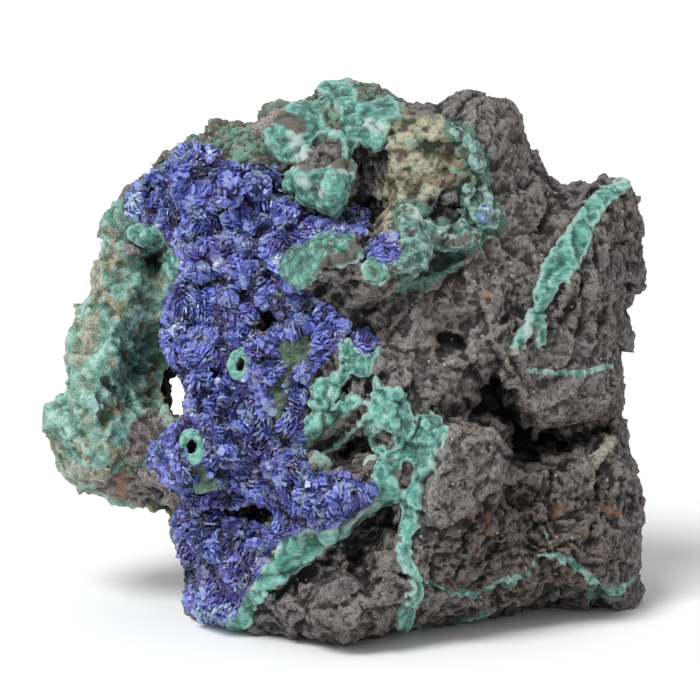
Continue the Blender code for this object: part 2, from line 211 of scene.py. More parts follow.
def rows_of(piece, name):
    flat = np.empty(len(piece.data.vertices) * 3, np.float32)
    piece.data.vertices.foreach_get(name, flat)
    return flat.reshape(-1, 3).astype(float)


def points_of(piece):
    return rows_of(piece, "co")


def normals_of(piece):
    return rows_of(piece, "normal")


def edges_of(piece):
    """The two ends of every edge, as two rows of vertex numbers."""
    ends = np.empty(len(piece.data.edges) * 2, np.int32)
    piece.data.edges.foreach_get("vertices", ends)
    return ends.reshape(-1, 2).T


def set_points(piece, points):
    piece.data.vertices.foreach_set("co", points.astype(np.float32).ravel())
    piece.data.update()


def averaged(piece, rows, rounds):
    """Each vertex's row, blended again and again with those of its neighbours."""
    one, other = edges_of(piece)
    count = len(rows)
    share = 1 + np.bincount(one, minlength=count) + np.bincount(other, minlength=count)
    columns = list(rows.T)
    for _ in range(rounds):
        columns = [
            (column + np.bincount(one, column[other], count) + np.bincount(other, column[one], count)) / share
            for column in columns
        ]
    return np.stack(columns, axis=1)


def proudness(piece, rounds):
    """How far each vertex stands proud (+) of its surroundings, or deep (-), in millimetres."""
    points = points_of(piece)
    return ((points - averaged(piece, points, rounds)) * normals_of(piece)).sum(axis=1) / MM


def set_group(piece, name, weights):
    """A vertex group from one weight for each vertex, in a hundred steps."""
    group = piece.vertex_groups.new(name=name)
    steps = np.round(np.clip(weights, 0, 1) * 100).astype(int)
    for step in range(1, 101):
        chosen = np.flatnonzero(steps == step)
        if len(chosen):
            group.add(chosen.tolist(), step / 100, "REPLACE")
    return name


def set_field(piece, name, values):
    """A number for each vertex that the materials read by this name."""
    attribute = piece.data.attributes.new(name, "FLOAT", "POINT")
    attribute.data.foreach_set("value", np.asarray(values, np.float32))


def triangles(piece):
    return sum(len(face.vertices) - 2 for face in piece.data.polygons)


# %% [markdown]
# ## The form that everything grows on
#
# The CAD solids leave thin gaps between the minerals. In the real stone they have grown together, so
# one form is made from all of them: the copies swell until they touch, a voxel remesh welds them,
# and the form shrinks back. The rock and every crust are then made from this one surface, which is
# why they fit each other.

# %% One welded form
# In millimetres: the side of a voxel, and how far the copies swell.
FORM_VOXEL = 0.48
FORM_SWELL = 0.25
form = copy_of(sorted(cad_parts), "form")
swell(form, FORM_SWELL)
remesh(form, FORM_VOXEL)
swell(form, -FORM_SWELL)
soften(form, 3)


def keep_only(piece, kept):
    """Deletes the vertices that aren't kept."""
    activate(piece)
    bpy.ops.object.mode_set(mode="EDIT")
    bpy.ops.mesh.select_mode(type="VERT")
    bpy.ops.mesh.select_all(action="DESELECT")
    bpy.ops.object.mode_set(mode="OBJECT")
    piece.data.vertices.foreach_set("select", ~kept)
    bpy.ops.object.mode_set(mode="EDIT")
    bpy.ops.mesh.delete(type="VERT")
    on_whole_mesh(bpy.ops.mesh.delete_loose)


def largest_island(piece):
    """Deletes the closed bubbles that a weld leaves inside."""
    count = len(piece.data.vertices)
    one, other = edges_of(piece)
    label = np.arange(count)
    while True:
        least = np.minimum(label[one], label[other])
        before = label.copy()
        np.minimum.at(label, one, least)
        np.minimum.at(label, other, least)
        label = label[label]
        if (label == before).all():
            break
    names, sizes = np.unique(label, return_counts=True)
    keep_only(piece, label == names[np.argmax(sizes)])
    print("islands:", len(names), "kept", sizes.max(), "of", count, "vertices")


largest_island(form)
print("form:", triangles(form), "triangles")

# %% [markdown]
# ## Hollows and proud places
#
# What breaks sharply in the rock is drawn as outlines on the leaning plane. Each one is pushed in or
# pulled out along the depth, with an edge about a millimetre wide.

# %% Which side is which, and how far inside
# Where the front goes over into the back: x and depth.
MIDDLE = [(-62, 13), (-52, 9), (-44, 9), (-30, 5), (0, 3), (34, 4), (48, 8), (62, 10)]


def depths_of(normals):
    """How much each frame normal looks towards the front: the leaning plane's own near side."""
    return normals[:, 2] * math.sin(LEAN) - normals[:, 1] * math.cos(LEAN)


def frontness(x, d, normals):
    """One on the front of the specimen, falling to nothing on its back."""
    line = np.interp(x, [point[0] for point in MIDDLE], [point[1] for point in MIDDLE])
    return smooth((line - d) / 4 + 0.5 + 2.0 * depths_of(normals))


def inside_any(outlines, x, h):
    """How far each point lies inside the nearest of several outlines."""
    return np.max([distance_inside(outline, x, h) for outline in outlines], axis=0)


WAVES = 14


def waves(points, size, seed):
    """A wandering value between about -1 and 1 with features of a size: a sum of crossing waves."""
    chance = np.random.default_rng(seed)
    ways = chance.normal(size=(WAVES, 3))
    ways /= np.linalg.norm(ways, axis=1)[:, None]
    ways *= chance.uniform(0.6, 1.6, (WAVES, 1)) * 2 * math.pi / size
    return np.sin(points @ ways.T + chance.uniform(0, 2 * math.pi, WAVES)).sum(axis=1) / math.sqrt(WAVES)


# %% Push and pull
# Outline on the leaning plane, and how far it is pushed in (+) or stands proud (-), in millimetres.
CARVINGS = {
    "slot beside the long vein": ([
        (0.5, 19.2), (3.3, 21.5), (9.7, 24.6), (9.9, 20.6), (9.4, 16.4), (6.5, 10), (3.3, 7.2), (0.5, 10),
        (0.1, 15.5),
    ], 5),
    "groove under the rim": ([
        (-14.7, 6.3), (-9.2, 10), (-5, 12.7), (-2.7, 15), (-0.8, 17.3), (-0.6, 16), (-2.7, 12.7),
        (-7.3, 8.6), (-13.3, 4.4),
    ], 2.5),
    "hollow in the crust": ([
        (-2.7, 33), (-1.3, 34.7), (1.5, 36.9), (4.2, 38.3), (6.2, 35.3), (6.7, 32.2), (4, 33), (0.9, 31.4),
        (-1.3, 31.4),
    ], 6),
    "hole in the crust's arch": ([
        (-1.4, 43.4), (-1.6, 45.5), (-0.8, 47.2), (1.2, 48.6), (1.5, 47.2), (0.1, 45), (-0.5, 43.3),
    ], 4),
    "brown hole in the crust": ([(3.3, 43.6), (3.7, 46.6), (5.2, 48.4), (5.6, 46.9), (5.1, 43.8)], 2),
    "hole in the azurite": ([
        (-18.5, 58.3), (-17.2, 61), (-14.8, 62.2), (-12.5, 59.6), (-14.8, 56.9), (-17.6, 56.4),
    ], 5),
    "gap under the azurite": ([
        (-27, 22.6), (-23, 22.4), (-19.8, 23.8), (-15.2, 23.8), (-13.2, 22), (-14.7, 18.3), (-17.2, 17.6),
        (-20.4, 20), (-25.8, 20.6),
    ], 5),
    "cave above the arm": ([
        (-41, 72.3), (-39.5, 73.8), (-36.5, 74), (-35.8, 71.8), (-36, 69.3), (-38.5, 69.8), (-40.5, 70.3),
    ], 7),
    "cleft in the arm": ([
        (-48.8, 47.3), (-47, 48.3), (-45.5, 45.8), (-46, 42.8), (-46.5, 38.8), (-49, 39.3), (-49.2, 43.3),
    ], 3),
    "cavity in the ochre lip": ([
        (15.4, 82.2), (16.6, 83.4), (20.2, 83.8), (22.6, 82.6), (23, 79.4), (20.6, 78.6), (17.4, 79.4),
        (15.8, 80.2),
    ], 2.6),
    "dark hole in the middle face": ([
        (17.6, 53.9), (18.7, 56.5), (20.9, 57.2), (23.5, 55.7), (23.5, 54.2), (19.8, 53.1), (18.7, 51.7),
    ], 4),
    "recess beside the hanging lump": ([(1.6, 87.6), (3, 91.6), (7.6, 92), (7.2, 82.1), (4.2, 78.5)], -1.5),
    "hanging lump": ([
        (-9.6, 86), (-8.1, 93), (-5.8, 94), (-2.5, 94), (0.2, 92), (1.4, 88.6), (0.5, 84.9), (-0.5, 81.2),
        (-2.8, 80.2), (-5.3, 81.2), (-7.2, 83),
    ], -3),
    "ledge wedge": ([
        (-13.2, 69.6), (-12.7, 72), (-8.1, 74.7), (-3.5, 76.6), (0.7, 78), (1.6, 76.1), (3, 73.8),
        (3.5, 71.5), (-0.7, 70.6), (-4.4, 69.6), (-6.7, 66.9), (-10.4, 65.5),
    ], -2),
    "shelf under the ledge": ([
        (-5.8, 63.6), (-6.2, 65.5), (-3.5, 68.3), (1.6, 70.1), (3.5, 65.5), (1.2, 62.7),
    ], 1.5),
    "block below the cavity": ([
        (20.9, 40), (24.2, 39.8), (28.4, 38.9), (30.8, 37.8), (31, 31.8), (29.8, 25.8), (26, 22.2),
        (19, 18.8), (16, 22), (15.6, 31), (17.6, 36),
    ], -2),
    "cavity under the roof": ([
        (20.8, 40.6), (25, 44.8), (29.6, 50.4), (31.4, 47), (31.6, 44.4), (35.2, 39.8), (38.6, 37.8),
        (38, 31), (35, 29), (31.6, 30.6), (31.4, 38.2), (28.4, 39.8), (23.6, 40.8),
    ], 4),
    "left of the hanging tooth": ([(-11.6, 82.8), (-12.4, 85), (-8.4, 88.4), (-5.6, 86), (-4.8, 82)], 1.6),
    "recess right of the block": ([
        (31.6, 37.6), (38, 37.4), (45, 36.4), (46, 31), (42, 26), (36, 22), (30.8, 22), (31.6, 31),
    ], 2.6),
    "its right end": ([(38, 38), (47, 37.4), (53, 39.4), (53.4, 35.8), (46, 33.4), (40, 31.4)], 3),
    "hollow of the low ring": ([
        (-31, 33.4), (-31, 36.2), (-29.8, 37.4), (-28.6, 36.2), (-28.6, 33.4), (-29.8, 32.2),
    ], 2.5),
    "hollow of the high ring": ([
        (-21.4, 49), (-21.6, 51.6), (-20.4, 53.2), (-19.2, 52.2), (-19.4, 49.4), (-20.6, 48.2),
    ], 2.5),
}
EDGE_WIDTH = 1.4
# Rounded lumps (-) and dents (+): x, h, half width, half height, turn in degrees, depth.
DOMES = {
    "left ball of the middle crust": (-5.6, 38.4, 4.2, 4.4, 0, -2.4),
    "right ball of the middle crust": (8.6, 39, 4, 4.6, 0, -1.6),
    "upper arch of the crust": (2.6, 51.6, 2.6, 3.2, 0, -1.4),
    "arch's left foot": (-4.6, 45.2, 1.8, 3.2, 10, -1.4),
    "crust beside the long vein": (16.6, 36.4, 2.6, 4.6, 0, -0.9),
    "stem of the crown": (-2.4, 105.4, 2.6, 2.8, 0, -1.6),
    "crown's broad lump": (4.6, 97.6, 4.6, 4.2, 0, -2.2),
    "crown's left lump": (-9.4, 98, 4.2, 2.6, 20, -1.6),
    "dark lump on the crown": (5, 105, 3.4, 2.6, -20, -1.4),
    "left of the hanging lump": (-10.5, 85.6, 2.4, 2, 0, -1),
    "hanging lump's green foot": (-2.2, 84.4, 2.6, 5, -12, -3),
    "first lump of the lip": (12.4, 77.6, 2.4, 2.4, 0, -1.6),
    "second lump of the lip": (18.4, 76.4, 3.2, 2.2, 0, -1.8),
    "third lump of the lip": (23.8, 76.2, 2.2, 1.8, 0, -1.4),
    "right lump of the lip": (28.2, 79.6, 2.2, 2.4, 0, -1.2),
    "lip's upper right edge": (26.2, 91.2, 1.6, 4, 25, -1.2),
    "undercut below the lip": (18, 70.6, 9, 1.8, 22, 3),
    "undercut below the ledge": (-6, 65.2, 4.6, 1.4, 24, 1.6),
    "ledge's upper edge": (-5.6, 74, 7, 1.4, 26, -1.2),
    "flap at the top of the arm": (-39.6, 76.2, 3, 2.2, -18, -2.6),
    "small flap": (-34, 70.4, 1.8, 2.4, 0, -1.8),
    "lump on the arm's left edge": (-57.6, 37.8, 3, 2.8, 0, -1.8),
    "lump above it": (-55.2, 43.4, 2.2, 2, 0, -1.2),
    "low lump of the arm": (-53.4, 29.8, 2.6, 2.2, 0, -1.2),
    "long swelling of the arm": (-51.2, 43, 3, 8, 12, -1.4),
    "inner swelling of the arm": (-40, 47, 4.2, 4.4, 0, -2),
    "shadow under that swelling": (-39, 41.6, 4.4, 1, 8, 1.6),
    "upper swelling of the arm": (-44, 62, 4, 6, 0, -1),
    "bulge of the azurite's top": (-27, 85.6, 5.4, 4.4, 0, -1.6),
    "crack across the azurite's top": (-30, 82.6, 6, 0.8, 24, 2.4),
    "second crack there": (-20, 81, 5, 0.7, -10, 2),
    "crack low in the azurite's top": (-24, 68, 4, 0.8, 10, 2.2),
    "azurite's waist": (-28, 62, 3, 3, 0, 1.2),
    "column's left mass": (-31, 56, 4, 6, 0, -1.2),
    "column's right mass": (-15, 66, 6, 3, -30, -1),
    "crevice in the column": (-22, 44, 1.2, 6, 20, 2),
    "crevice left of the ball": (-11.4, 37, 1.2, 5, 0, 2.4),
    "bright lump at the inner end": (-7.6, 25.6, 4, 4.4, 0, -1.8),
    "left lump of the foot": (-26, 12, 4.6, 5.4, 0, -1.2),
    "arm's foot mass": (-32.4, 32.8, 5, 5.4, 0, -1.4),
    "face of the block": (24.4, 31, 5.6, 7.4, 20, -0.8),
    "step right of the block": (32.4, 24.6, 1.2, 8.4, 12, 2),
    "groove low at the right": (30, 14.4, 8, 0.9, 30, 1.8),
    "second groove there": (33, 18.4, 5, 0.8, 26, 1.6),
    "groove on the foot": (4, 7, 5, 0.9, 34, 1.8),
    "roof of the cavity": (44, 46, 9, 2.4, 24, -1.6),
    "ridge right of the vein": (50.6, 70, 1.6, 9, -14, -1),
    "trough beside the vein": (45.6, 65, 1.4, 8, -24, 1.6),
    "hollow by the middle face": (26.6, 60.6, 4, 1.4, 34, 1.8),
    "ledge of the middle face": (30, 57.4, 6, 1.4, 34, -1.2),
    "left ledge of the middle face": (14, 61.6, 5, 1.4, 28, -1.2),
    "pit in the knob": (33.6, 95.6, 2.6, 1.8, 0, 2.4),
}


def carve(piece, carvings, domes):
    """Moves the front along the depth inside each outline, and in each dome."""
    places = to_plane(points_of(piece))
    x, d, h = places.T.copy()
    front = frontness(x, d, normals_of(piece))
    wander = waves(places, 4.0, 11) * 0.5
    for outline, depth in carvings.values():
        places[:, 1] += depth * smooth(distance_inside(outline, x, h) / EDGE_WIDTH + 0.3 + wander) * front
    for middle_x, middle_h, half_width, half_height, turn, depth in domes.values():
        angle = math.radians(turn)
        across = ((x - middle_x) * math.cos(angle) + (h - middle_h) * math.sin(angle)) / half_width
        up = ((h - middle_h) * math.cos(angle) - (x - middle_x) * math.sin(angle)) / half_height
        distance = np.hypot(across, up) + 0.15 * wander
        places[:, 1] += depth * np.sqrt(np.clip(1 - distance, 0, 1)) * front
    set_points(piece, to_frame(places))


carve(form, CARVINGS, DOMES)

# %% [markdown]
# ## Clean breaks
#
# Some faces broke clean, and the floors of the cavities are even too. The front inside each outline
# moves towards the plane that fits it best. The form is then remeshed, so that its quads are even
# again where it was pulled.

# %% Levelled faces
# Outline, how far it is levelled (0 to 1), and how far it is then pushed in (+) or stands proud (-).
FLAT_FACES = {
    "face of the block": ([
        (20.9, 40), (24.2, 39.8), (28.4, 38.9), (30.8, 37.8), (31, 31.8), (29.8, 25.8), (26, 22.2),
        (19, 18.8), (15.4, 20), (15.6, 27), (18.4, 33), (18.6, 37),
    ], 0.9, -1.2),
    "front of the knob": ([
        (24, 92), (23, 100), (28, 104), (36, 103.5), (38.5, 98), (37, 91), (33, 86), (27, 86),
    ], 0.5, 0),
    "beside the right vein": ([(22, 70), (30, 84), (36, 85), (39, 76), (35, 66), (32, 58), (26, 62)], 0.5, 0),
    "roof of the cavity": ([(33, 44), (35, 53), (44, 56), (53, 54), (55, 46), (50, 40), (38, 39)], 0.5, 0),
    "middle face": ([(4, 60), (12, 66), (24, 68), (30, 58), (18, 50), (8, 52)], 0.4, 0),
    "floor of the cavity": ([
        (20.8, 40.6), (25, 44.8), (29.6, 50.4), (31.4, 47), (31.8, 44.4), (35.2, 40.2), (39, 38.4),
        (45, 37.2), (44, 34.6), (38, 33.6), (34.6, 32.4), (31.6, 33.4), (31.4, 38.2), (28.4, 39.8),
        (23.6, 40.8),
    ], 1, 8),
    "beside the hanging lump": ([
        (1.8, 88), (3, 92), (7.6, 93), (8, 84), (6, 78), (2.5, 79), (1.6, 84),
    ], 0.8, 1.5),
}


def level(piece, faces):
    """Moves the front inside each outline towards the plane that fits it best."""
    places = to_plane(points_of(piece))
    x, d, h = places.T.copy()
    facing = depths_of(normals_of(piece))
    rows = np.stack([x, h, np.ones(len(x))], axis=1)
    for name, (outline, share, depth) in faces.items():
        inside = distance_inside(outline, x, h)
        fitted = (inside > 1) & (facing > 0.3) & (d < 12)
        slopes = np.linalg.lstsq(rows[fitted], d[fitted], rcond=None)[0]
        # A second fit leaves out what lies deep behind the first one.
        fitted &= d < rows @ slopes + 1.5
        slopes = np.linalg.lstsq(rows[fitted], d[fitted], rcond=None)[0]
        plane = rows @ slopes + depth
        near = (facing > -0.1) & (np.abs(d - plane) < 12)
        places[:, 1] += share * smooth(inside / EDGE_WIDTH + 0.3) * (plane - d) * near
        moved = np.abs((plane - d)[near & (inside > 1)]).max()
        print(name, "slopes", slopes.round(2), "moved by up to", moved.round(1), "mm")
    set_points(piece, to_frame(places))


level(form, FLAT_FACES)
remesh(form, FORM_VOXEL)
largest_island(form)
soften(form, 1)

# %% [markdown]
# ## Where each mineral lies
#
# The outlines of the crusts, in millimetres on the leaning plane. A crust may have several patches,
# and bare windows where the rock shows through.

# %% Outlines of the malachite
def carved(name):
    """The outline of one of the carvings."""
    return CARVINGS[name][0]


CROWN = [
    [
        (-5, 105.4), (-4.6, 107.4), (-1.4, 108.7), (0.6, 108.2), (1.5, 105.8), (3, 102.2), (6.2, 103),
        (8.2, 103.8), (10.6, 101.8), (11, 99.6), (8.6, 99), (8.2, 94.2), (6.2, 93.4), (3.4, 94.6),
        (1.8, 93.8), (0.6, 92.2), (-1.8, 95.8), (-5, 96.2), (-6.6, 94.4), (-7.4, 91.6), (-10.4, 90.6),
        (-12.8, 91.4), (-15, 94.2), (-16.2, 96.6), (-13.8, 99), (-11.4, 101.8), (-9, 102.6), (-5.4, 102.6),
        (-3.8, 103.8),
    ],
    [
        (-11.1, 88.5), (-7.7, 89.7), (-5.2, 88.8), (-2.1, 90), (-0.2, 92.2), (1.4, 90.3), (1.4, 88.5),
        (0.4, 85.4), (-0.5, 82.9), (-1.1, 80.7), (-2.7, 80.4), (-5.2, 82.2), (-8.3, 83), (-11.4, 83.2),
        (-12, 84.7),
    ],
]
CROWN_WINDOWS = [
    [(-3.8, 98.6), (-2.6, 101.8), (-1, 101.4), (-1, 99.8), (-2.2, 97), (-3.8, 97.4)],
    [(1.4, 107.6), (3.8, 109), (7.6, 106.6), (8.4, 104.6), (7, 103.4), (4.6, 102.4), (3, 102.4)],
]
LEDGE = [[
    (-13.2, 69.6), (-12.7, 72), (-8.1, 74.7), (-3.5, 76.6), (0.7, 78), (1.6, 76.1), (3, 73.8), (3.5, 71.5),
    (-0.7, 70.6), (-4.4, 69.6), (-6.7, 66.9), (-10.4, 65.5), (-11.3, 66.9), (-12.7, 67.8),
], [(3.6, 70.6), (5, 71.8), (7.4, 71.2), (8.2, 68.6), (6.2, 66.8), (4, 67.8)]]
CRUST = [
    [
        (-1.4, 54.9), (0.6, 55.4), (2, 54), (3.7, 52.3), (5.6, 53.5), (6.7, 54.2), (5.6, 51.9),
        (5.3, 49.7), (4.5, 48.6), (1.5, 49.2), (-1, 47.2), (-1.7, 45), (-2.4, 43.3), (-2.7, 41.6),
        (-5.2, 41.9), (-6.8, 43.3), (-6.6, 46.6), (-5.2, 47.7), (-2.7, 48.8), (-0.3, 51.3), (-1.6, 53),
    ],
    [
        (-8.6, 34.3), (-8.7, 37.8), (-7.4, 40.5), (-5.2, 42), (-2.7, 41.9), (-1.9, 43.3), (0.1, 44.8),
        (2, 44.8), (3.7, 43.3), (4.8, 42.5), (4, 39.7), (1.5, 37.8), (-1.9, 34.4), (-4.6, 32.9),
        (-6.8, 33.7),
    ],
    [
        (4, 43.3), (5.6, 45.5), (5.9, 48.6), (7.8, 46.6), (10.6, 46.2), (12.5, 43.3), (12.8, 41.4),
        (14.6, 37.2), (13.5, 35), (10, 33), (8.1, 32.9), (6.2, 34.2), (4.9, 36.6), (4.1, 38.6),
        (4.5, 40.8),
    ],
    [
        (13, 39.4), (14.5, 40.8), (16.1, 42), (18.1, 40.8), (20, 38.3), (19, 35.8), (17.8, 33.9),
        (17.1, 30.8), (15.3, 29.2), (14.9, 25.6), (14.3, 22.8), (11.4, 22.8), (10, 25.2), (6.2, 24.5),
        (4.5, 24.6), (5.6, 26.1), (5.6, 29.4), (6.7, 32.5), (9.5, 33), (12.4, 35.3),
    ],
    [
        (11.4, 25), (14.8, 24.7), (14.4, 22), (14.2, 19.2), (12.8, 17.3), (12.8, 14.1), (13.9, 10.9),
        (15.5, 8.1), (15.1, 5.8), (13.7, 3.5), (13.2, 0.7), (12.3, -1.4), (10.7, -1.1), (10.2, 1.6),
        (11.2, 4.4), (13.2, 7.2), (12.5, 9.5), (10.5, 12.7), (10, 15.5), (11.4, 18.3), (11.4, 22),
    ],
]
CRUST_WINDOWS = [
    [
        (-7.4, 34.2), (-4.4, 36.6), (-0.5, 39.1), (1.5, 42.2), (3.7, 43), (4.5, 42.2), (2.8, 39.7),
        (-0.5, 36.9), (-2.7, 34.7), (-4.9, 33.5), (-6.3, 33.7),
    ],
    carved("brown hole in the crust"),
    [(6.2, 36.9), (7.6, 38.3), (9.2, 37.5), (9.5, 35.3), (8.4, 34.4), (6.7, 35.5)],
    [(10.6, 28.9), (11.7, 31.7), (13.1, 31.4), (13.1, 28.9), (12, 27), (10.3, 26.7)],
]
RIM = [[
    (-26.2, -2.6), (-23.8, -0.6), (-21.8, 1.4), (-19.8, 5.8), (-16.6, 10), (-14.6, 13.8), (-12, 17.4),
    (-7.8, 19), (-2.6, 19), (0, 19.8), (2.6, 21.8), (5.6, 24), (8.6, 25.4), (10.6, 25.6), (10.2, 24),
    (6.6, 22.8), (3.4, 20.4), (0.2, 17.6), (-3, 15.8), (-5.4, 13.6), (-9.2, 10.6), (-14.2, 7),
    (-17.4, 3.4), (-19, -0.6), (-21, -3.4),
]]
VEIN = [[
    (58.4, 88), (56.8, 86.3), (53.4, 83.8), (51.5, 81.6), (49.3, 77.9), (48.1, 74.5), (45.9, 70.4),
    (43.7, 67.3), (40.9, 64.5), (39.4, 61.7), (39.7, 58), (39.4, 54.9), (38.1, 54.2), (36.9, 57.4),
    (35.3, 54.2), (32.8, 54.2), (33.8, 56.7), (35.3, 59.2), (36.9, 62.3), (37.5, 66.1), (38.9, 70.4),
    (40.9, 73.8), (44.3, 78.5), (47.8, 83.2), (51.8, 86), (56.2, 88.8), (57.6, 89.6),
]]
LIP = [
    [
        (10.6, 79.4), (11.4, 81.8), (13.4, 82.2), (15, 79.8), (18.2, 77.8), (21.4, 78), (23, 79.2),
        (25, 77.8), (27, 77), (26.2, 75), (23, 73.8), (19, 73.4), (16.6, 73.8), (15.8, 69.8), (13.4, 68.6),
        (9, 69.8), (8.6, 72.2), (10.6, 73.8), (11, 76.2),
    ],
    [
        (23.2, 84.6), (24.2, 86.2), (25.8, 85.4), (27.8, 85.8), (28.6, 82.6), (30.4, 79.4), (29.4, 77.8),
        (26.2, 77.4), (25, 80.2), (24, 82.6),
    ],
    [
        (21.4, 97.8), (24.2, 96.2), (25.8, 93.8), (27.4, 90.6), (27, 88.6), (25, 89.4), (24.6, 92.6),
        (23, 94.6), (20.6, 96.6),
    ],
]
LIP_WINDOWS = [[(24.6, 83.2), (25.8, 85.2), (27.2, 85), (27.2, 82.6), (26.2, 81.6), (25, 82.2)]]
FLAPS = [
    [
        (-43.5, 77.5), (-41, 79.8), (-38, 79.4), (-36, 77.4), (-35.6, 75.4), (-38, 74.6), (-41, 75.2),
        (-43, 75.8),
    ],
    [(-36, 73), (-34, 74.5), (-32, 72.5), (-31.8, 69), (-34, 67.6), (-35.6, 70)],
]
# Where the azurite lies, and the windows in it where the green bed shows or a hole opens.
AZURITE = [[
    (-43.5, 83.5), (-41, 87), (-38, 88.5), (-35, 90.5), (-33, 93.5), (-30, 94.5), (-26.5, 93.5), (-24, 91),
    (-20, 90), (-14, 89.5), (-12.5, 84), (-9, 81), (-3, 79.5), (1.5, 81.5), (4.5, 80.5), (3.5, 76.5),
    (-4, 76), (-12, 73), (-13, 69), (-8, 65), (-3, 62), (0, 58.5), (-1.5, 54.5), (-4.5, 51.5), (-7, 49),
    (-8, 44), (-8.5, 35), (-7, 29), (0, 29.5), (6, 26.5), (2, 22.5), (-2, 19.5), (-8, 19.5), (-12.5, 17.5),
    (-15.5, 13), (-18.5, 8), (-21, 3.5), (-24.5, -0.5), (-29.5, 0.5), (-31.5, 4), (-30.5, 9), (-33, 16),
    (-33.5, 20), (-31, 24), (-36, 28), (-39, 32), (-36, 36), (-31, 40.5), (-30.5, 46), (-33.5, 50),
    (-36.5, 56), (-36, 62), (-32, 68), (-31.5, 72), (-34.5, 76), (-38, 79), (-43, 80.5),
], [
    (5.4, 74.4), (7.6, 76), (10.2, 74.8), (10.2, 71.4), (7.6, 69.8), (5.4, 71.6),
], [
    (2, 57), (4, 57.6), (5.8, 55.4), (5, 53), (2.2, 53.4),
], [
    (25.8, 80.4), (27.2, 82.2), (28.6, 80.8), (27.2, 79.2),
]]
AZURITE_HOLES = [
    carved("hole in the azurite"),
    [(-27.5, 67), (-23.8, 68.6), (-21.5, 68), (-22.8, 67), (-25.6, 66.2)],
    [(-27, 22.6), (-23, 22.4), (-19.8, 23.8), (-15.2, 23.8), (-13.2, 22), (-14.7, 18.8), (-20.4, 20.4)],
    carved("hollow of the low ring"),
    carved("hollow of the high ring"),
]
# Where the crystals are frosted with white.
FROSTED = [
    [(-32, 5), (-27, 3.6), (-22, 4.4), (-21, -3), (-32, -3)],
    [(25.6, 79.6), (26.4, 83), (29, 82), (28.6, 79)],
    [(-44, 84), (-41, 87), (-40, 83), (-41, 78), (-44, 78)],
]
# Where the azurite's bed shows and is green.
GREEN_BED = [
    [
        (-13.5, 56.8), (-6.5, 57.8), (-3.8, 55.5), (-6.5, 51.8), (-11.2, 46.3), (-10.2, 44.4),
        (-11.2, 40.7), (-13, 36.1), (-15.3, 36.6), (-14.8, 41.6), (-15.3, 45.3), (-13, 50), (-13.5, 53.6),
    ],
    [(-30.2, 29.8), (-29, 31.4), (-25.8, 31.4), (-25.1, 25.6), (-29.5, 25.9)],
    [(-20, 56.4), (-15.5, 57), (-15, 54.5), (-18.5, 54.5)],
]

# %% [markdown]
# ## The broken surface
#
# All of the stone broke in the same way, so the form gets its breaks before it is divided. Slanting
# ledges swell out towards their lower edge and cut back under it, and between them the stone split
# along many small flat facets that each tilt their own way.

# %% Facets and ledges
def facets(points, size, seed):
    """Flat breaks: space is shared out among random seeds, and each share gets its own tilt."""
    chance = np.random.default_rng(seed)
    count = int(np.prod(BOX_HIGH - BOX_LOW) / (size * MM) ** 3)
    seeds = chance.uniform(BOX_LOW, BOX_HIGH, (count, 3))
    tilts = chance.normal(size=(count, 3))
    tree = KDTree(count)
    for number, place in enumerate(seeds):
        tree.insert(place, number)
    tree.balance()
    own = np.array([tree.find(point)[1] for point in points])
    return ((points - seeds[own]) * tilts[own]).sum(axis=1) / (size * MM)


def ledges(places, slope, period, seed):
    """A saw profile from 0 to 1 across lines that rise to the right at a slope in degrees."""
    x, d, h = places.T
    turn = np.radians(slope + 12 * waves(places, 45, seed))
    across = (h * np.cos(turn) - x * np.sin(turn)) / period
    across = across + 0.4 * waves(places, 4.0 * period, seed + 1)
    across = across + 0.07 * waves(places, 0.8 * period, seed + 2)
    return 1 - (across - np.floor(across))


def push(piece, normals, amounts):
    """Moves each vertex along a direction of its own by an amount in millimetres."""
    set_points(piece, points_of(piece) + normals * (amounts * MM)[:, None])


ARM = [
    (-63, 25), (-50, 20), (-40, 20), (-33, 24), (-36, 28), (-39.5, 32), (-36, 36.5), (-31.5, 41),
    (-31, 46), (-34, 50), (-37, 56), (-36.5, 62), (-32.5, 68), (-32, 72), (-35, 76), (-38.5, 79.5),
    (-43.5, 81), (-44.5, 84), (-48, 84), (-55, 75), (-58, 60), (-64, 42),
]
# Where fine slanting grooves run through the rock, and the clean breaks, which face the light and are painted
# lighter.
STRIATED = [(22, 22), (30, 27), (40, 28), (52, 26), (56, 14), (50, 6), (38, 8), (24, 6), (16, 9), (15, 16)]
CLEAN_FACES_PAINTED_LIT = [
    [(14, 22), (15, 31), (20.6, 40), (30, 38), (31, 33), (28, 24), (20, 12), (15, 12)],
    [(-2, 60), (6, 66), (16, 68), (28, 72), (33, 66), (30, 56), (16, 48), (6, 50)],
    [(22, 92), (22, 102), (36, 103), (38, 94), (34, 84), (26, 84)],
    [(24, 72), (30, 84), (36, 84), (38, 74), (34, 66), (26, 66)],
    [(34, 40), (32, 48), (38, 56), (50, 58), (54, 48), (48, 38), (40, 36)],
]
UNDER_GREEN = [CROWN, LEDGE, CRUST, RIM, VEIN, LIP]
OCHRE = [
    (8.6, 99.4), (11.8, 100.2), (15, 98.6), (19, 98.2), (22.6, 95.4), (24.6, 92.6), (25.4, 89),
    (24.6, 86.2), (21.4, 85.8), (16.6, 84.2), (14.2, 82.6), (11, 79), (10.2, 76), (7, 75.4), (6.6, 80),
    (8.2, 87.4), (8.6, 93.8), (7.8, 97.8),
]
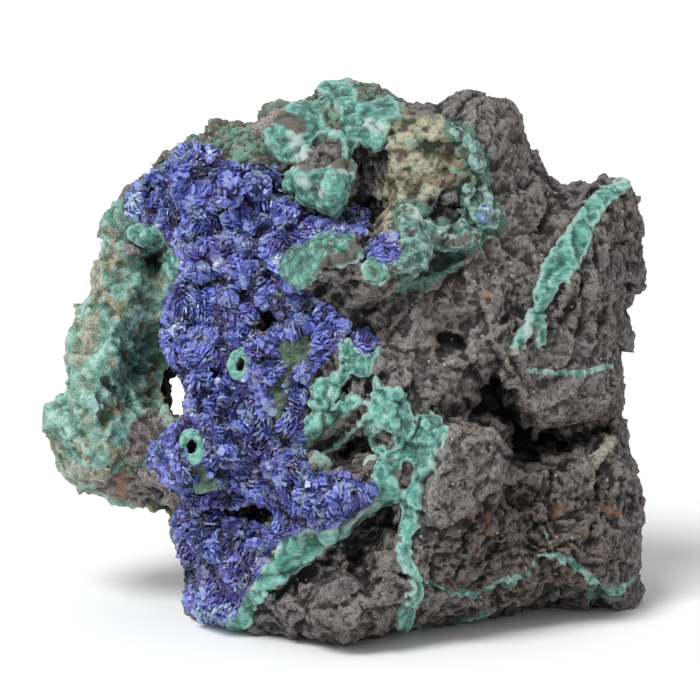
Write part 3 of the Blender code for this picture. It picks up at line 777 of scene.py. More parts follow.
# The shares of the points that a printed spread is given for.
SPREAD = [2, 25, 50, 75, 98]
smooth_start = points_of(form)
broad_normals = averaged(form, normals_of(form), 16)
broad_normals /= np.linalg.norm(broad_normals, axis=1)[:, None]
places = to_plane(smooth_start)
x, d, h = places.T
on_front = frontness(x, d, broad_normals) > 0.5
under_green = np.max([inside_any(part, x, h) for part in UNDER_GREEN], axis=0)
blue = smooth(np.where(on_front, inside_any(AZURITE, x, h), NOWHERE) / 2 + 0.5)
green = smooth(np.where(on_front, under_green, NOWHERE) / 2 + 0.5)
on_arm = smooth(distance_inside(ARM, x, h) / 2 + 0.5)
on_ochre = smooth(distance_inside(OCHRE, x, h) / 3 + 0.5) * on_front
bare = (1 - 0.9 * blue) * (1 - 0.6 * green) * (1 - 0.6 * on_arm) * (1 - 0.7 * on_ochre)
calm = smooth(inside_any(CLEAN_FACES_PAINTED_LIT, x, h) / 3 + 0.3) * on_front
broken = smooth(waves(places, 18, 3) + 0.9) * smooth((56 - x) / 8) * (1 - 0.6 * calm) * (0.5 + 0.5 * on_front)
striated = smooth(distance_inside(STRIATED, x, h) / 5 + 0.3)
# From broad ledges to fine grooves, and from broad facets to small ones; all heights in millimetres.
amounts = 1.6 * (ledges(places, 36, 10.0, 40) - 0.5) * broken * bare
amounts += 0.8 * (ledges(places, 34, 2.6, 50) - 0.5) * striated * on_front
amounts += 0.3 * (ledges(places, 32, 3.4, 60) - 0.5) * smooth(waves(places, 11, 6) + 0.5) * bare
amounts += 0.9 * facets(smooth_start, 9.0, 30) * (1 - 0.4 * blue - 0.4 * green) * (1 - 0.5 * calm)
amounts += 0.45 * facets(smooth_start, 4.2, 31) * (1 - 0.4 * calm)
amounts += 0.16 * facets(smooth_start, 2.0, 32) * (1 + 0.8 * blue)
push(form, broad_normals, np.clip(amounts, -2.6, 2.2))

# %% Blender's own textures for the smaller breaks
def ramp_of(pattern, stops):
    """Reshapes a texture's values with (value, brightness) stops."""
    pattern.use_color_ramp = True
    ramp = pattern.color_ramp
    while len(ramp.elements) < len(stops):
        ramp.elements.new(0.5)
    for element, (place, light) in zip(ramp.elements, stops):
        element.position = place
        element.color = (light, light, light, 1)


CLODS = texture("clods", "VORONOI", 5.4, weight_1=-1.0, noise_intensity=1.2)
CRAGS = texture("crags", "MUSGRAVE", 3.2, musgrave_type="RIDGED_MULTIFRACTAL", octaves=3)
HOLES = texture("holes", "VORONOI", 2.8, weight_1=1.0)
ramp_of(HOLES, [(0.10, 0.0), (0.36, 1.0)])
PITS = texture("pits", "VORONOI", 1.3, weight_1=1.0)
ramp_of(PITS, [(0.08, 0.0), (0.42, 1.0)])
GRIT = texture("grit", "CLOUDS", 0.8, noise_type="HARD_NOISE", noise_depth=2)
BUBBLES = texture("bubbles", "VORONOI", 2.4, weight_1=-1.0, noise_intensity=1.0)
deep_blue = np.minimum(inside_any(AZURITE, x, h), -inside_any(AZURITE_HOLES, x, h))
displace(form, CLODS, 2.8, set_group(form, "blue", smooth(deep_blue / 2.2 - 0.1) * on_front))
form.vertex_groups.clear()
print("broken surface, mm:", np.percentile(amounts, SPREAD).round(2))


# How far below the top of the box a surface is held, in millimetres: the rock stays under its crusts.
ROCK_SPARE = 0.6
CRUST_SPARE = -0.3


def clamp(piece, spare=0.0):
    """Keeps the piece inside the CAD model's box and off the floor, with millimetres to spare above."""
    high = BOX_HIGH - np.array([0, 0, spare * MM])
    set_points(piece, np.clip(points_of(piece), BOX_LOW, high))


# %% [markdown]
# ## The rock
#
# Iron oxide rock (gossan) is full of small holes where sulphide grains were dissolved. Displace
# modifiers give it those: a ridged pattern for the crags, Voronoi cells for the holes and fine clouds
# for the grit. Under the crusts the rock is pushed in a little, because they lie on it. The hidden and
# far sides are decimated more.

# %% Rock shape
def duplicate(piece, name):
    activate(piece)
    bpy.ops.object.duplicate()
    made = bpy.context.object
    made.name = made.data.name = name
    return made


rock = duplicate(form, "matrix_rock_body")
front = frontness(x, d, broad_normals)
covered = np.max([inside_any(outlines, x, h) for outlines in UNDER_GREEN + [AZURITE, FLAPS]], axis=0)
open_places = CROWN_WINDOWS + CRUST_WINDOWS + LIP_WINDOWS + AZURITE_HOLES
covered = np.where(front > 0.5, np.minimum(covered, -inside_any(open_places, x, h)), NOWHERE)
holed = smooth(waves(places, 12, 4) * 0.8 - 0.3 + on_ochre)
set_group(rock, "bare", (1 - 0.75 * on_arm) * (1 - 0.6 * calm))
set_group(rock, "holed", holed * (1 - 0.7 * on_arm) * (1 - 0.85 * calm))
set_group(rock, "lumpy", on_arm)
displace(rock, CRAGS, 0.35, "bare")
displace(rock, HOLES, 1.0, "holed", mid=0.9)
displace(rock, BUBBLES, 1.4, "lumpy")
displace(rock, PITS, 0.4, "bare", mid=0.8)
displace(rock, GRIT, 0.35)
set_field(rock, "proud", proudness(rock, 6))
set_field(rock, "relief", proudness(rock, 40))
push(rock, broad_normals, -1.3 * smooth(covered / 1.6) - 1.4 * smooth(covered / 3 - 0.3))
clamp(rock, ROCK_SPARE)
for name, rounds in [("proud", 6), ("relief", 40)]:
    print(name, "mm:", np.percentile(proudness(rock, rounds), SPREAD).round(2))

# %% [markdown]
# ## Marks on the rock
#
# Thin veins, stains and dust follow lines and outlines too. Each of these marks becomes a number on
# every vertex: how far it lies inside the mark, in millimetres. The rock's material reads them.

# %% Fields that the material reads
# A line and its half width, in millimetres on the leaning plane.
THIN_VEINS = {
    "straight vein": ([(35.8, 49.8), (41, 49.4), (46, 49.2), (49, 49.6), (52.6, 50.6)], 0.55),
    "wavy vein": ([
        (16, 8.6), (17.8, 7.4), (21.8, 6.2), (25.6, 6), (29.6, 7.6), (34.8, 9.4), (38.2, 12.8),
        (41.6, 13.2), (44.2, 12.2), (46.8, 10), (50.4, 7.8), (52.6, 6.2), (57.2, 7.4),
    ], 0.25),
    "white part of the wavy vein": ([(21, 6.6), (25.6, 6.2), (29, 7.4), (32.5, 9)], 0.45),
    "broad part of the wavy vein": ([(42.5, 12.8), (45, 11.4), (47.5, 9.4), (50, 7.4)], 0.8),
    "green end of the wavy vein": ([(51.6, 5.4), (54, 5), (57.6, 7.6)], 0.6),
    "branch": ([(41.6, 13.2), (40, 17), (39, 20.4)], 0.15),
    "green foot edge": ([(13.6, -1.2), (18.8, -2.4), (22, -1), (28.6, 1.4)], 0.5),
}
MOSS = [
    (-37, 88.5), (-36.5, 93.7), (-33, 97), (-29.3, 98), (-25.6, 99.8), (-19.2, 102.6), (-11.8, 105.8),
    (-5, 106.5), (-2, 110), (6, 110), (10, 105), (12, 101), (9, 98), (2, 99), (-4, 95), (-12.7, 91.3),
    (-13.2, 88.5), (-17.3, 89.4), (-21.9, 90.3), (-26.5, 93.5), (-30.2, 94.5), (-33, 92.7), (-34.4, 88.5),
]
CREAM = {
    "streak at the right": ([(50.4, 32.4), (52.4, 34.6)], 1.5),
    "its lower end": ([(46.6, 24.6), (48.4, 28), (49.8, 31)], 0.45),
    "cream high on the arm": ([(-50, 70.5), (-49.5, 66)], 1.8),
    "cream on the arm": ([(-50.5, 60), (-51.5, 54.5), (-53, 52)], 1.6),
    "cream low on the arm": ([(-55.5, 30.5), (-52, 29.5), (-49.5, 28.5)], 1.4),
    "white left of the ochre face": ([(9, 92.4), (10, 88.6)], 1),
    "white by the vein": ([(33.4, 57.8), (32.6, 54.8), (31.6, 50.8), (31, 48.6)], 0.5),
}
RUST = {
    "spot left of the vein": ([(27.2, 64.4), (28, 64.8)], 0.9),
    "spot on the arm's underside": ([(-45, 25.8), (-44.4, 28.6)], 1.2),
    "spot low at the right": ([(42.4, 21.6), (42.8, 22.8)], 0.7),
    "far spot": ([(51.4, 22.4), (54.2, 21.6)], 0.7),
    "spot in the middle": ([(27.8, 20.8), (28.4, 19)], 0.3),
    "lower spot in the middle": ([(25, 15.6), (26, 15)], 0.5),
    "spot under the crown": ([(-20, 88), (-18.5, 90)], 0.9),
}
BROWN = {
    "the arm's broken underside": ([(-46.5, 25.5), (-40, 26.5), (-36, 25)], 4),
    "bridge to the azurite": ([(-41, 37.5), (-38, 38.5), (-41.5, 34)], 2.6),
    "above the flap": ([(-43, 75.2), (-42, 73.6)], 1.3),
    "brown in the moss": ([(-17, 97), (-12, 100.5)], 1.8),
}
# The hollows whose rock is painted dark, as shade.
UNLIT = [carved("cavity under the roof"), carved("its right end"), carved("dark hole in the middle face")]
TEAL_STAINS = {
    "beside the wavy vein": ([(22, -0.5), (26, 0.5), (28, 1.5)], 0.8),
    "lower right": ([(49.5, 5.2), (54, 5.8)], 1.2),
    "below the lip": ([(11, 66), (16, 67.5), (22, 71.5)], 1.5),
    "left of the lip": ([(6.5, 72), (8.5, 76)], 1.4),
}


def inside_lines(lines, x, h):
    """How far each point lies within the half width of the nearest line."""
    return np.max([width - distance_to_line(line, x, h) for line, width in lines.values()], axis=0)


def front_field(piece, name, values, front):
    set_field(piece, name, np.where(front > 0.5, values, NOWHERE))


front_field(rock, "lit_faces_painted", inside_any(CLEAN_FACES_PAINTED_LIT, x, h), front)
# On the arm's far side the coat ends in a wandering edge.
behind = np.clip(0.5 * (-35 - x) + 3.5 * waves(places, 12, 8), NOWHERE, -NOWHERE)
set_field(rock, "arm", np.where(front > 0.02, distance_inside(ARM, x, h), behind))
for name, outline in [("ochre", OCHRE), ("moss", MOSS), ("grooved", STRIATED)]:
    front_field(rock, name, distance_inside(outline, x, h), front)
for name, lines in [("vein", THIN_VEINS), ("cream", CREAM), ("rust", RUST), ("brown", BROWN)]:
    front_field(rock, name, inside_lines(lines, x, h), front)
set_field(rock, "unlit", np.where(depths_of(normals_of(rock)) > -0.6, inside_any(UNLIT, x, h), NOWHERE))
front_field(rock, "teal", np.maximum(inside_lines(TEAL_STAINS, x, h), inside_any(LIP, x, h) + 1.5), front)

# %% [markdown]
# ## Thinning the rock
#
# What the crusts hide and what faces away carries less detail, so those faces are decimated first,
# and then the whole rock a little, down to what one piece may have.

# %% Thinning
MOST_TRIANGLES = 195000
FAR_TRIANGLES = 62000


def thin(piece, most, hidden=None):
    """Decimates to a count of triangles, only among the hidden vertices where they are given."""
    count = triangles(piece)
    if count <= most:
        return
    limits = {}
    if hidden is not None:
        limits = {"vertex_group": set_group(piece, "hidden", hidden), "vertex_group_factor": 1.0}
    modify(piece, "DECIMATE", ratio=most / count, **limits)


low_down = points_of(rock)[:, 2] < 0.3 * MM
hidden = (covered > 1.5) | (front < 0.5) | low_down
near_triangles = int(triangles(rock) * (1 - hidden.mean()))
thin(rock, near_triangles + FAR_TRIANGLES, hidden)
thin(rock, MOST_TRIANGLES)
clamp(rock, ROCK_SPARE)
print("near side of the rock:", near_triangles, "triangles before thinning")
rock.vertex_groups.clear()
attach(rock, "root")
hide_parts("matrix_rock")
print("rock:", triangles(rock), "triangles")

# %% [markdown]
# ## Crusts
#
# A crust grows on the rock in a thin layer. Each one is cut from the same form: the faces within its
# outline are kept, a Solidify modifier gives them a back, and the front is raised inside the outline
# and sunk below the rock at its edge. So the edge that shows is the line where the two meet, uneven as
# in nature.

# %% Cutting a crust from the form
# In millimetres: how far a crust is cut outside its outline, how far its edge wanders, how deep the
# edge sinks into the rock, and how thick the layer is.
CUT_MARGIN = 2.0
EDGE_WANDER = 0.3
EDGE_SINK = 1.6
CRUST_THICKNESS = 0.9


def crust(name, outlines, windows, levels, proud):
    """A layer over the form inside some outlines, with an uneven edge."""
    piece = duplicate(form, name)
    x, d, h = to_plane(points_of(piece)).T
    inside = inside_any(outlines, x, h)
    keep_only(piece, (inside > -CUT_MARGIN) & (frontness(x, d, normals_of(piece)) > 0.5))
    if levels:
        modify(piece, "SUBSURF", levels=levels, render_levels=levels)
    places = to_plane(points_of(piece))
    x, d, h = places.T
    inside = inside_any(outlines, x, h) + 0.3
    for window in windows:
        inside = np.minimum(inside, -distance_inside(window, x, h))
    inside = inside + EDGE_WANDER * waves(places, 2.8, len(name)) + 0.15 * EDGE_WANDER * waves(places, 1.0, 5)
    lift = -EDGE_SINK + (EDGE_SINK + proud) * smooth(inside / 1.3 + 0.65)
    ways = averaged(piece, normals_of(piece), 24)
    push(piece, ways / np.linalg.norm(ways, axis=1)[:, None], lift)
    set_field(piece, "inside", inside)
    set_group(piece, "raised", smooth(inside / 1.2))
    return piece


def close_back(piece, most):
    """Thins the layer and gives it a back, so that it is a closed body."""
    thin(piece, most // 2)
    modify(piece, "SOLIDIFY", thickness=CRUST_THICKNESS * MM, offset=-1)
    activate(piece)
    bpy.ops.object.shade_smooth()


SWELLS = texture("swells", "CLOUDS", 3.2, noise_type="SOFT_NOISE", noise_depth=1)
BOTRYOIDS = texture("botryoids", "VORONOI", 2.2, weight_1=-1.0, noise_intensity=1.0)
SMALL_BOTRYOIDS = texture("small botryoids", "VORONOI", 0.9, weight_1=-1.0, noise_intensity=1.0)
VELVET = texture("velvet", "CLOUDS", 0.5, noise_type="SOFT_NOISE", noise_depth=2)

# Brown breaks and white edges on the crusts: a line on the leaning plane and its half width.
CRUST_BROWN = {
    "left of the crown": ([(-17, 101), (-12, 99.5), (-9, 98)], 1.6),
    "under the stem": ([(-3.4, 100.5), (-1.6, 98)], 1.2),
    "top of the hanging lump": ([(-8, 89.6), (-3, 91), (0.6, 90)], 1.3),
    "on the ledge": ([(-4, 70.6), (1, 72), (2.6, 74.5)], 1.2),
    "bar over the ball": ([(-6.6, 34.8), (-1, 39.5), (3.4, 42.2)], 0.9),
    "right of the ball": ([(6.6, 36.4), (9, 36)], 0.8),
    "low on the crust": ([(10.8, 29.6), (12.6, 30.4)], 1),
    "lower end of the vein": ([(36.4, 54.6), (37.6, 58)], 0.7),
    "brown in the lip": ([(17.5, 75.6), (20, 74.6), (24.5, 75.8)], 0.7),
}
CRUST_PALE = {
    "white patch on the crown": ([(-9.8, 96), (-8.4, 91.4)], 1.4),
    "white edge of the hanging lump": ([(-8.2, 86.8), (-4.8, 84.4)], 0.8),
    "its upper edge": ([(-4, 90.2), (1.2, 88.6)], 0.6),
    "white on the ledge": ([(-1, 68.8), (3.4, 71.2)], 1),
    "white on the lip": ([(13, 81), (16, 79)], 0.9),
    "more white on the lip": ([(19, 75.4), (21, 76)], 0.7),
    "bright shoulder of the crown": ([(4.5, 98.5), (8, 97)], 1),
    "upper edge of the rim": ([
        (-24, 0), (-20, 5.4), (-16.8, 10), (-14.4, 14), (-11.8, 17.2), (-7.8, 18.6), (-2.6, 18.6),
        (0.4, 19.6), (3, 21.6), (6, 23.6),
    ], 0.45),
    "white end of the vein": ([(35.6, 55.4), (36.4, 60)], 0.7),
    "top of the vein": ([(55, 87), (58, 89)], 0.5),
}

# Name, outlines, windows, the node it replaces, height, swells, lumps, small lumps in mm, triangles.
CRUSTS = [
    ("malachite_crown_crust", CROWN, CROWN_WINDOWS, "malachite_crown", 0.9, 1.0, 0.15, 0.15, 60000),
    ("malachite_ledge_crust", LEDGE, [], "malachite_ledge", 0.8, 0.7, 0.1, 0.15, 30000),
    ("malachite_middle_crust", CRUST, CRUST_WINDOWS, "malachite_crust", 0.8, 0.8, 0.15, 0.15, 70000),
    ("malachite_rim_band", RIM, [], "malachite_rim", 0.5, 0.3, 0.1, 0.1, 34000),
    ("malachite_right_vein", VEIN, [], "malachite_vein", 0.5, 0.5, 0.1, 0.1, 30000),
    ("malachite_lip", LIP, LIP_WINDOWS, "", 0.6, 1.2, 0.4, 0.3, 40000),
    ("malachite_flaps", FLAPS, [], "", 1.0, 0.8, 0.3, 0.2, 14000),
]
crusts = {}
for name, outlines, windows, node, proud, swells, lumps, small, most in CRUSTS:
    piece = crust(name, outlines, windows, 1, proud)
    for pattern, depth in [(SWELLS, swells), (BOTRYOIDS, lumps), (SMALL_BOTRYOIDS, small), (VELVET, 0.2)]:
        displace(piece, pattern, depth, "raised")
    piece.vertex_groups.clear()
    set_field(piece, "proud", proudness(piece, 12))
    set_field(piece, "relief", proudness(piece, 80))
    x, d, h = to_plane(points_of(piece)).T
    set_field(piece, "brown", inside_lines(CRUST_BROWN, x, h))
    set_field(piece, "pale", inside_lines(CRUST_PALE, x, h))
    clamp(piece)
    close_back(piece, most)
    clamp(piece, CRUST_SPARE)
    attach(piece, "root")
    if node:
        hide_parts(node)
    crusts[name] = piece
    print(name, triangles(piece), "triangles")

# %% [markdown]
# ## The azurite's bed
#
# The azurite grows on a bed of its own, a crust made in the same way. It is dark blue in the gaps
# between the crystals, and grey-green where the crystals have not covered it.

# %% Azurite bed
bed = crust("azurite_bed", AZURITE, AZURITE_HOLES, 0, 0.5)
displace(bed, BUBBLES, 0.5, "raised")
displace(bed, GRIT, 0.3)
x, d, h = to_plane(points_of(bed)).T
set_field(bed, "green", inside_any(GREEN_BED, x, h))
set_field(bed, "proud", proudness(bed, 6))
bed.vertex_groups.clear()
bed_points, bed_normals = points_of(bed), normals_of(bed)
bed_inside = np.minimum(inside_any(AZURITE, x, h), -inside_any(AZURITE_HOLES, x, h) - 0.5)
bed_proud = proudness(bed, 40)
bed_green = inside_any(GREEN_BED, x, h)
clamp(bed)
close_back(bed, 70000)
clamp(bed, CRUST_SPARE)
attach(bed, "root")
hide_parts("azurite_druse")
print("azurite bed:", triangles(bed), "triangles")

# %% [markdown]
# ## Crystals of azurite
#
# Azurite grows as flat plates that lie together like the pages of a book, fanned out a little. Each
# book turns its own way, so one shows the edges of its pages as fine lines and the next one shows a
# broad flat face. One plate is modelled, and arrays of its corners place every copy in joined meshes.

# %% One plate
# Corners of a plate: across, up from its root, and the share of its thickness there.
PLATE_CORNERS = [
    (-0.42, -0.5, 1.0), (0.42, -0.5, 1.0), (0.5, 0.12, 1.0), (0.12, 0.5, 0.55), (-0.46, 0.3, 0.8),
]
SIDES = len(PLATE_CORNERS)
PLATE_FACES = [list(range(SIDES)), list(range(2 * SIDES - 1, SIDES - 1, -1))] + [
    [(i + 1) % SIDES, i, i + SIDES, (i + 1) % SIDES + SIDES] for i in range(SIDES)
]
PLATE_SHAPE = np.array(
    [(across, up, -share / 2) for across, up, share in PLATE_CORNERS]
    + [(across, up, share / 2) for across, up, share in PLATE_CORNERS]
)


def unit(rows):
    return rows / np.maximum(np.linalg.norm(rows, axis=-1, keepdims=True), 1e-9)


def plates_mesh(name, centres, ups, spines, sizes, values):
    """One object from many plates. Sizes are (width, length, thickness) rows in millimetres."""
    ups = unit(ups)
    acrosses = unit(np.cross(ups, spines))
    spines = np.cross(acrosses, ups)
    scaled = PLATE_SHAPE[None] * sizes[:, None, :]
    corners = centres[:, None] + (
        scaled[..., 0:1] * acrosses[:, None] + scaled[..., 1:2] * ups[:, None]
        + scaled[..., 2:3] * spines[:, None]
    ) * MM
    count = len(centres)
    corners = np.clip(corners.reshape(-1, 3), BOX_LOW, BOX_HIGH)
    faces = [[corner + 2 * SIDES * i for corner in face] for i in range(count) for face in PLATE_FACES]
    mesh = bpy.data.meshes.new(name)
    mesh.from_pydata(corners.tolist(), [], faces)
    mesh.update()
    made = bpy.data.objects.new(name, mesh)
    bpy.context.scene.collection.objects.link(made)
    set_field(made, "crystal", np.repeat(values, 2 * SIDES))
    activate(made)
    on_whole_mesh(bpy.ops.mesh.normals_make_consistent, inside=False)
    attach(made, "root")
    print(name, count, "plates,", triangles(made), "triangles")


# %% Places for the books and their plates
def scatter(chance, points, spacings, allowed):
    """Picks points at random that keep their own spacing from each other, by a grid of cells."""
    cell = spacings[allowed].max() * MM
    grid = {}
    picked = []
    for i in chance.permutation(np.flatnonzero(allowed)):
        key = tuple(np.floor(points[i] / cell).astype(int))
        near = [
            j for dx in (-1, 0, 1) for dy in (-1, 0, 1) for dz in (-1, 0, 1)
            for j in grid.get((key[0] + dx, key[1] + dy, key[2] + dz), [])
        ]
        if not near or (np.linalg.norm(points[near] - points[i], axis=1) > spacings[i] * MM).all():
            picked.append(i)
            grid.setdefault(key, []).append(i)
    return np.array(picked)


chance = np.random.default_rng(7)
bed_places = to_plane(bed_points)
book_size = np.clip(2.2 + 1.0 * waves(bed_places, 9, 21), 1.2, 4.0)
grows = (bed_inside > -0.3) & (bed_green < 0.6 + 0.8 * waves(bed_places, 3, 23))
books = scatter(chance, bed_points, book_size, grows)
plates = scatter(chance, bed_points, np.full(len(bed_points), 0.46), grows)
print("books:", len(books), "plates:", len(plates))

# %% Plates of every book
tree_of_books = KDTree(len(books))
for number, i in enumerate(books):
    tree_of_books.insert(bed_points[i], number)
tree_of_books.balance()
# A plate near the edge of a book may belong to the next one, so the edges interlock.
own_book = np.array([
    tree_of_books.find(Vector(bed_points[i] + 0.35 * MM * chance.normal(size=3)))[1] for i in plates
])
normal = unit(bed_normals[books])
# The direction that a book's pages are stacked in: along the surface for edges, out of it for faces.
along = unit(np.cross(normal, chance.normal(size=normal.shape)))
lie = np.where(chance.uniform(0, 1, len(books)) < 0.16, chance.uniform(0.9, 2.0, len(books)),
               chance.uniform(-0.45, 0.55, len(books)))
stack = unit(along + lie[:, None] * normal)
book_tone = chance.uniform(0, 1, len(books))
outward = unit(bed_normals[plates])
offset = bed_points[plates] - bed_points[books[own_book]]
ups = unit(outward + 130 * offset + 0.16 * chance.normal(size=outward.shape))
spines = stack[own_book] + 0.16 * chance.normal(size=outward.shape)
# A plate that lies flat grows along the surface instead of out of it.
flat = np.abs((stack[own_book] * outward).sum(axis=1)) > 0.6
ups = unit(ups + 1.4 * flat[:, None] * (along[own_book] + 0.3 * chance.normal(size=outward.shape)))
scale = (0.5 + 0.16 * book_size[books[own_book]]) * chance.uniform(0.7, 1.35, len(plates))
scale *= np.where(chance.uniform(0, 1, len(plates)) < 0.07, 1.6, 1.0)
sizes = np.stack([1.4 * scale, 1.5 * scale, 0.34 * chance.uniform(0.5, 1.8, len(plates))], axis=1)
# The middle of a book stands out furthest, so a dark furrow is left between the books.
bulge = np.clip(1 - (np.linalg.norm(offset, axis=1) / (0.75 * MM * book_size[books[own_book]])) ** 2, -0.3, 1)
lift = scale * chance.uniform(-0.25, 0.3, len(plates)) * np.where(flat, 0.5, 1.0)
lift += 0.5 * bulge * (0.5 + 0.2 * book_size[books[own_book]]) - 0.05
centres = bed_points[plates] + outward * (lift * MM)[:, None]
plate_x, _, height = to_plane(centres).T
# Each plate's shade: random for its book and for itself, plus painted light and shade: plates on the bed's
# proud places and in a book's middle are lighter, those in its hollows darker. Plates lower down are darker.
values = 0.34 * book_tone[own_book] + 0.24 * chance.uniform(0, 1, len(plates)) + 0.16 * bulge + 0.12
values += 0.46 * np.clip(bed_proud[plates], -1.4, 0.8) + 0.20 * waves(to_plane(centres), 5, 24)
values -= 0.12 * smooth((48 - height) / 12)
frosted = smooth(inside_any(FROSTED, plate_x, height) / 1.5 + 0.4)
values = np.clip(values, 0, 1) + 2.0 * frosted * (chance.uniform(0, 1, len(plates)) < 0.6)
# Three pieces, by their heights on the leaning plane in millimetres.
CRYSTAL_PIECES = {"azurite_top": (67, 200), "azurite_column": (38, 67), "azurite_foot": (-20, 38)}
for name, (lowest, highest) in CRYSTAL_PIECES.items():
    chosen = (height > lowest) & (height <= highest)
    plates_mesh(name, centres[chosen], ups[chosen], spines[chosen], sizes[chosen], values[chosen])

# %% [markdown]
# ## Single growths
#
# A few growths stand by themselves: hollow rings where thin green stalactites broke off, small round
# balls of malachite, and a grey-green crystal. They start as plain tori, spheres and a cube, set on
# the surface by a ray from the front, and the same textures make them uneven.

# %% Rings, balls and a crystal
surface = BVHTree.FromPolygons([Vector(point) for point in points_of(form)],
                               [tuple(face.vertices) for face in form.data.polygons])
INWARD = Vector(to_frame([0, 1, 0])[0] - to_frame([0, 0, 0])[0]).normalized()


def on_surface(x, h, reach):
    """The middle of where rays around a place meet the stone, and the way its surface faces there."""
    places, facings = [], []
    for turn in np.linspace(0, 2 * math.pi, 8, endpoint=False):
        start = to_frame([x + reach * math.cos(turn), -90, h + reach * math.sin(turn)])[0]
        place, facing, _, _ = surface.ray_cast(Vector(start), INWARD)
        places.append(place)
        facings.append(facing)
    return sum(places, Vector()) / 8, sum(facings, Vector()) / 8


def growth(name, x, h, size, turn, sink):
    """Shapes the active primitive: its size in millimetres, its turn, its place, and its lumps."""
    piece = bpy.context.object
    piece.name = piece.data.name = name
    place, facing = on_surface(x, h, 0.5 * size[0])
    aim = (facing * 0.5 - INWARD * 0.8).normalized()
    piece.location = place + aim * (-sink * MM)
    spin = Matrix.Rotation(math.radians(turn), 3, "Z").to_quaternion()
    piece.rotation_euler = (aim.to_track_quat("Z", "Y") @ spin).to_euler()
    piece.scale = [side / 2 for side in size]
    bpy.ops.object.transform_apply(location=True, rotation=True, scale=True)
    displace(piece, SWELLS, 0.16 * min(size))
    displace(piece, SMALL_BOTRYOIDS, 0.25)
    for field, value in [("inside", 3.0), ("brown", NOWHERE), ("pale", NOWHERE)]:
        set_field(piece, field, np.full(len(piece.data.vertices), value))
    set_field(piece, "proud", proudness(piece, 12))
    set_field(piece, "relief", proudness(piece, 60))
    activate(piece)
    bpy.ops.object.shade_smooth()
    clamp(piece)
    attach(piece, "root")
    return piece


# x, h, width and height in millimetres, and for a ring its turn in degrees.
RINGS = {"ring_low": (-29.7, 34.8, 4.8, 6.8, 10), "ring_high": (-20.2, 51.0, 5.0, 6.6, -15)}
BALLS = {
    "ball_by_the_crust": (-5.0, 31.6, 5.6, 4.4), "cap_ball_low": (5.6, 31.2, 4.2, 4.4),
    "cap_ball_high": (6.0, 68.2, 4.8, 4.6), "ball_in_the_ledge": (-1.6, 75.6, 3.0, 2.4),
    "ball_on_the_rim": (-23.6, 2.0, 2.6, 2.2), "small_ball_on_the_bed": (-11.4, 33.4, 3.0, 2.6),
}
growths = {}
for name, (x_place, h_place, width, height_up, turn) in RINGS.items():
    bpy.ops.mesh.primitive_torus_add(
        major_radius=0.74 * MM, minor_radius=0.34 * MM, major_segments=64, minor_segments=24)
    growths[name] = growth(name, x_place, h_place, (width, height_up, 4.0), turn, -1.3)
for name, (x_place, h_place, width, height_up) in BALLS.items():
    bpy.ops.mesh.primitive_ico_sphere_add(subdivisions=4, radius=MM)
    growths[name] = growth(name, x_place, h_place, (width, height_up, 0.8 * width), 0, 0.25 * width)
bpy.ops.mesh.primitive_cube_add(size=2 * MM)
modify(bpy.context.object, "BEVEL", width=0.12 * MM, segments=2)
on_whole_mesh(bpy.ops.mesh.subdivide, number_cuts=8)
growths["grey_green_crystal"] = growth("grey_green_crystal", -27.6, 28.6, (4.6, 5.4, 3.6), 12, 0.6)
print("single growths:", len(growths), sum(triangles(piece) for piece in growths.values()), "triangles")

# %% [markdown]
# ## Finishes
#
# Every finish is built from nodes. Small helpers add a node and feed its sockets, so each material
# reads from the stone's base colour to its grain. Sizes are in millimetres.

# %% Node helpers
def node(tree, kind, inputs=None, **settings):
    """Adds a node, sets its properties, and feeds its inputs with values or other sockets."""
    made = tree.nodes.new("ShaderNode" + kind)
    for key, value in settings.items():
        setattr(made, key, value)
    for key, value in (inputs or {}).items():
        feed(tree, made.inputs[key], value)
    return made


def feed(tree, socket, value):
    if isinstance(value, bpy.types.NodeSocket):
        tree.links.new(value, socket)
    elif isinstance(value, tuple) and len(value) == 3 and socket.type == "RGBA":
        socket.default_value = (*value, 1)
    else:
        socket.default_value = value


def mathed(tree, operation, *values, clamp=False):
    made = node(tree, "Math", dict(enumerate(values)), operation=operation, use_clamp=clamp)
    return made.outputs[0]


def mixed(tree, share, one, other, blend="MIX"):
    made = node(tree, "Mix", data_type="RGBA", blend_type=blend)
    feed(tree, made.inputs[0], share)
    feed(tree, made.inputs[6], one)
    feed(tree, made.inputs[7], other)
    return made.outputs[2]


def stepped(tree, value, low, high, to_low=0.0, to_high=1.0):
    """A smooth step from low to high."""
    return node(tree, "MapRange", {
        "Value": value, "From Min": low, "From Max": high, "To Min": to_low, "To Max": to_high,
    }, interpolation_type="SMOOTHSTEP").outputs[0]


def attribute(tree, name):
    return node(tree, "Attribute", attribute_name=name).outputs["Fac"]


def place_of(tree):
    return node(tree, "TexCoord").outputs["Object"]


def noise(tree, place, size, detail, roughness):
    """Blender's noise with lumps of a size in millimetres, which may be a socket."""
    if isinstance(size, bpy.types.NodeSocket):
        scale = mathed(tree, "DIVIDE", 1 / MM, size)
    else:
        scale = 1 / (size * MM)
    inputs = {"Vector": place, "Scale": scale, "Detail": detail, "Roughness": roughness}
    return node(tree, "TexNoise", inputs).outputs["Fac"]


def cells(tree, place, size):
    return node(tree, "TexVoronoi", {"Vector": place, "Scale": 1 / (size * MM)})


def material_of(name, roughness, **sockets):
    """A material whose Principled BSDF has these plain values."""
    made = bpy.data.materials.new(name)
    made.use_nodes = True
    shader = made.node_tree.nodes["Principled BSDF"]
    shader.inputs["Roughness"].default_value = roughness
    for socket, value in sockets.items():
        shader.inputs[socket.replace("_", " ")].default_value = value
    return made, made.node_tree, shader


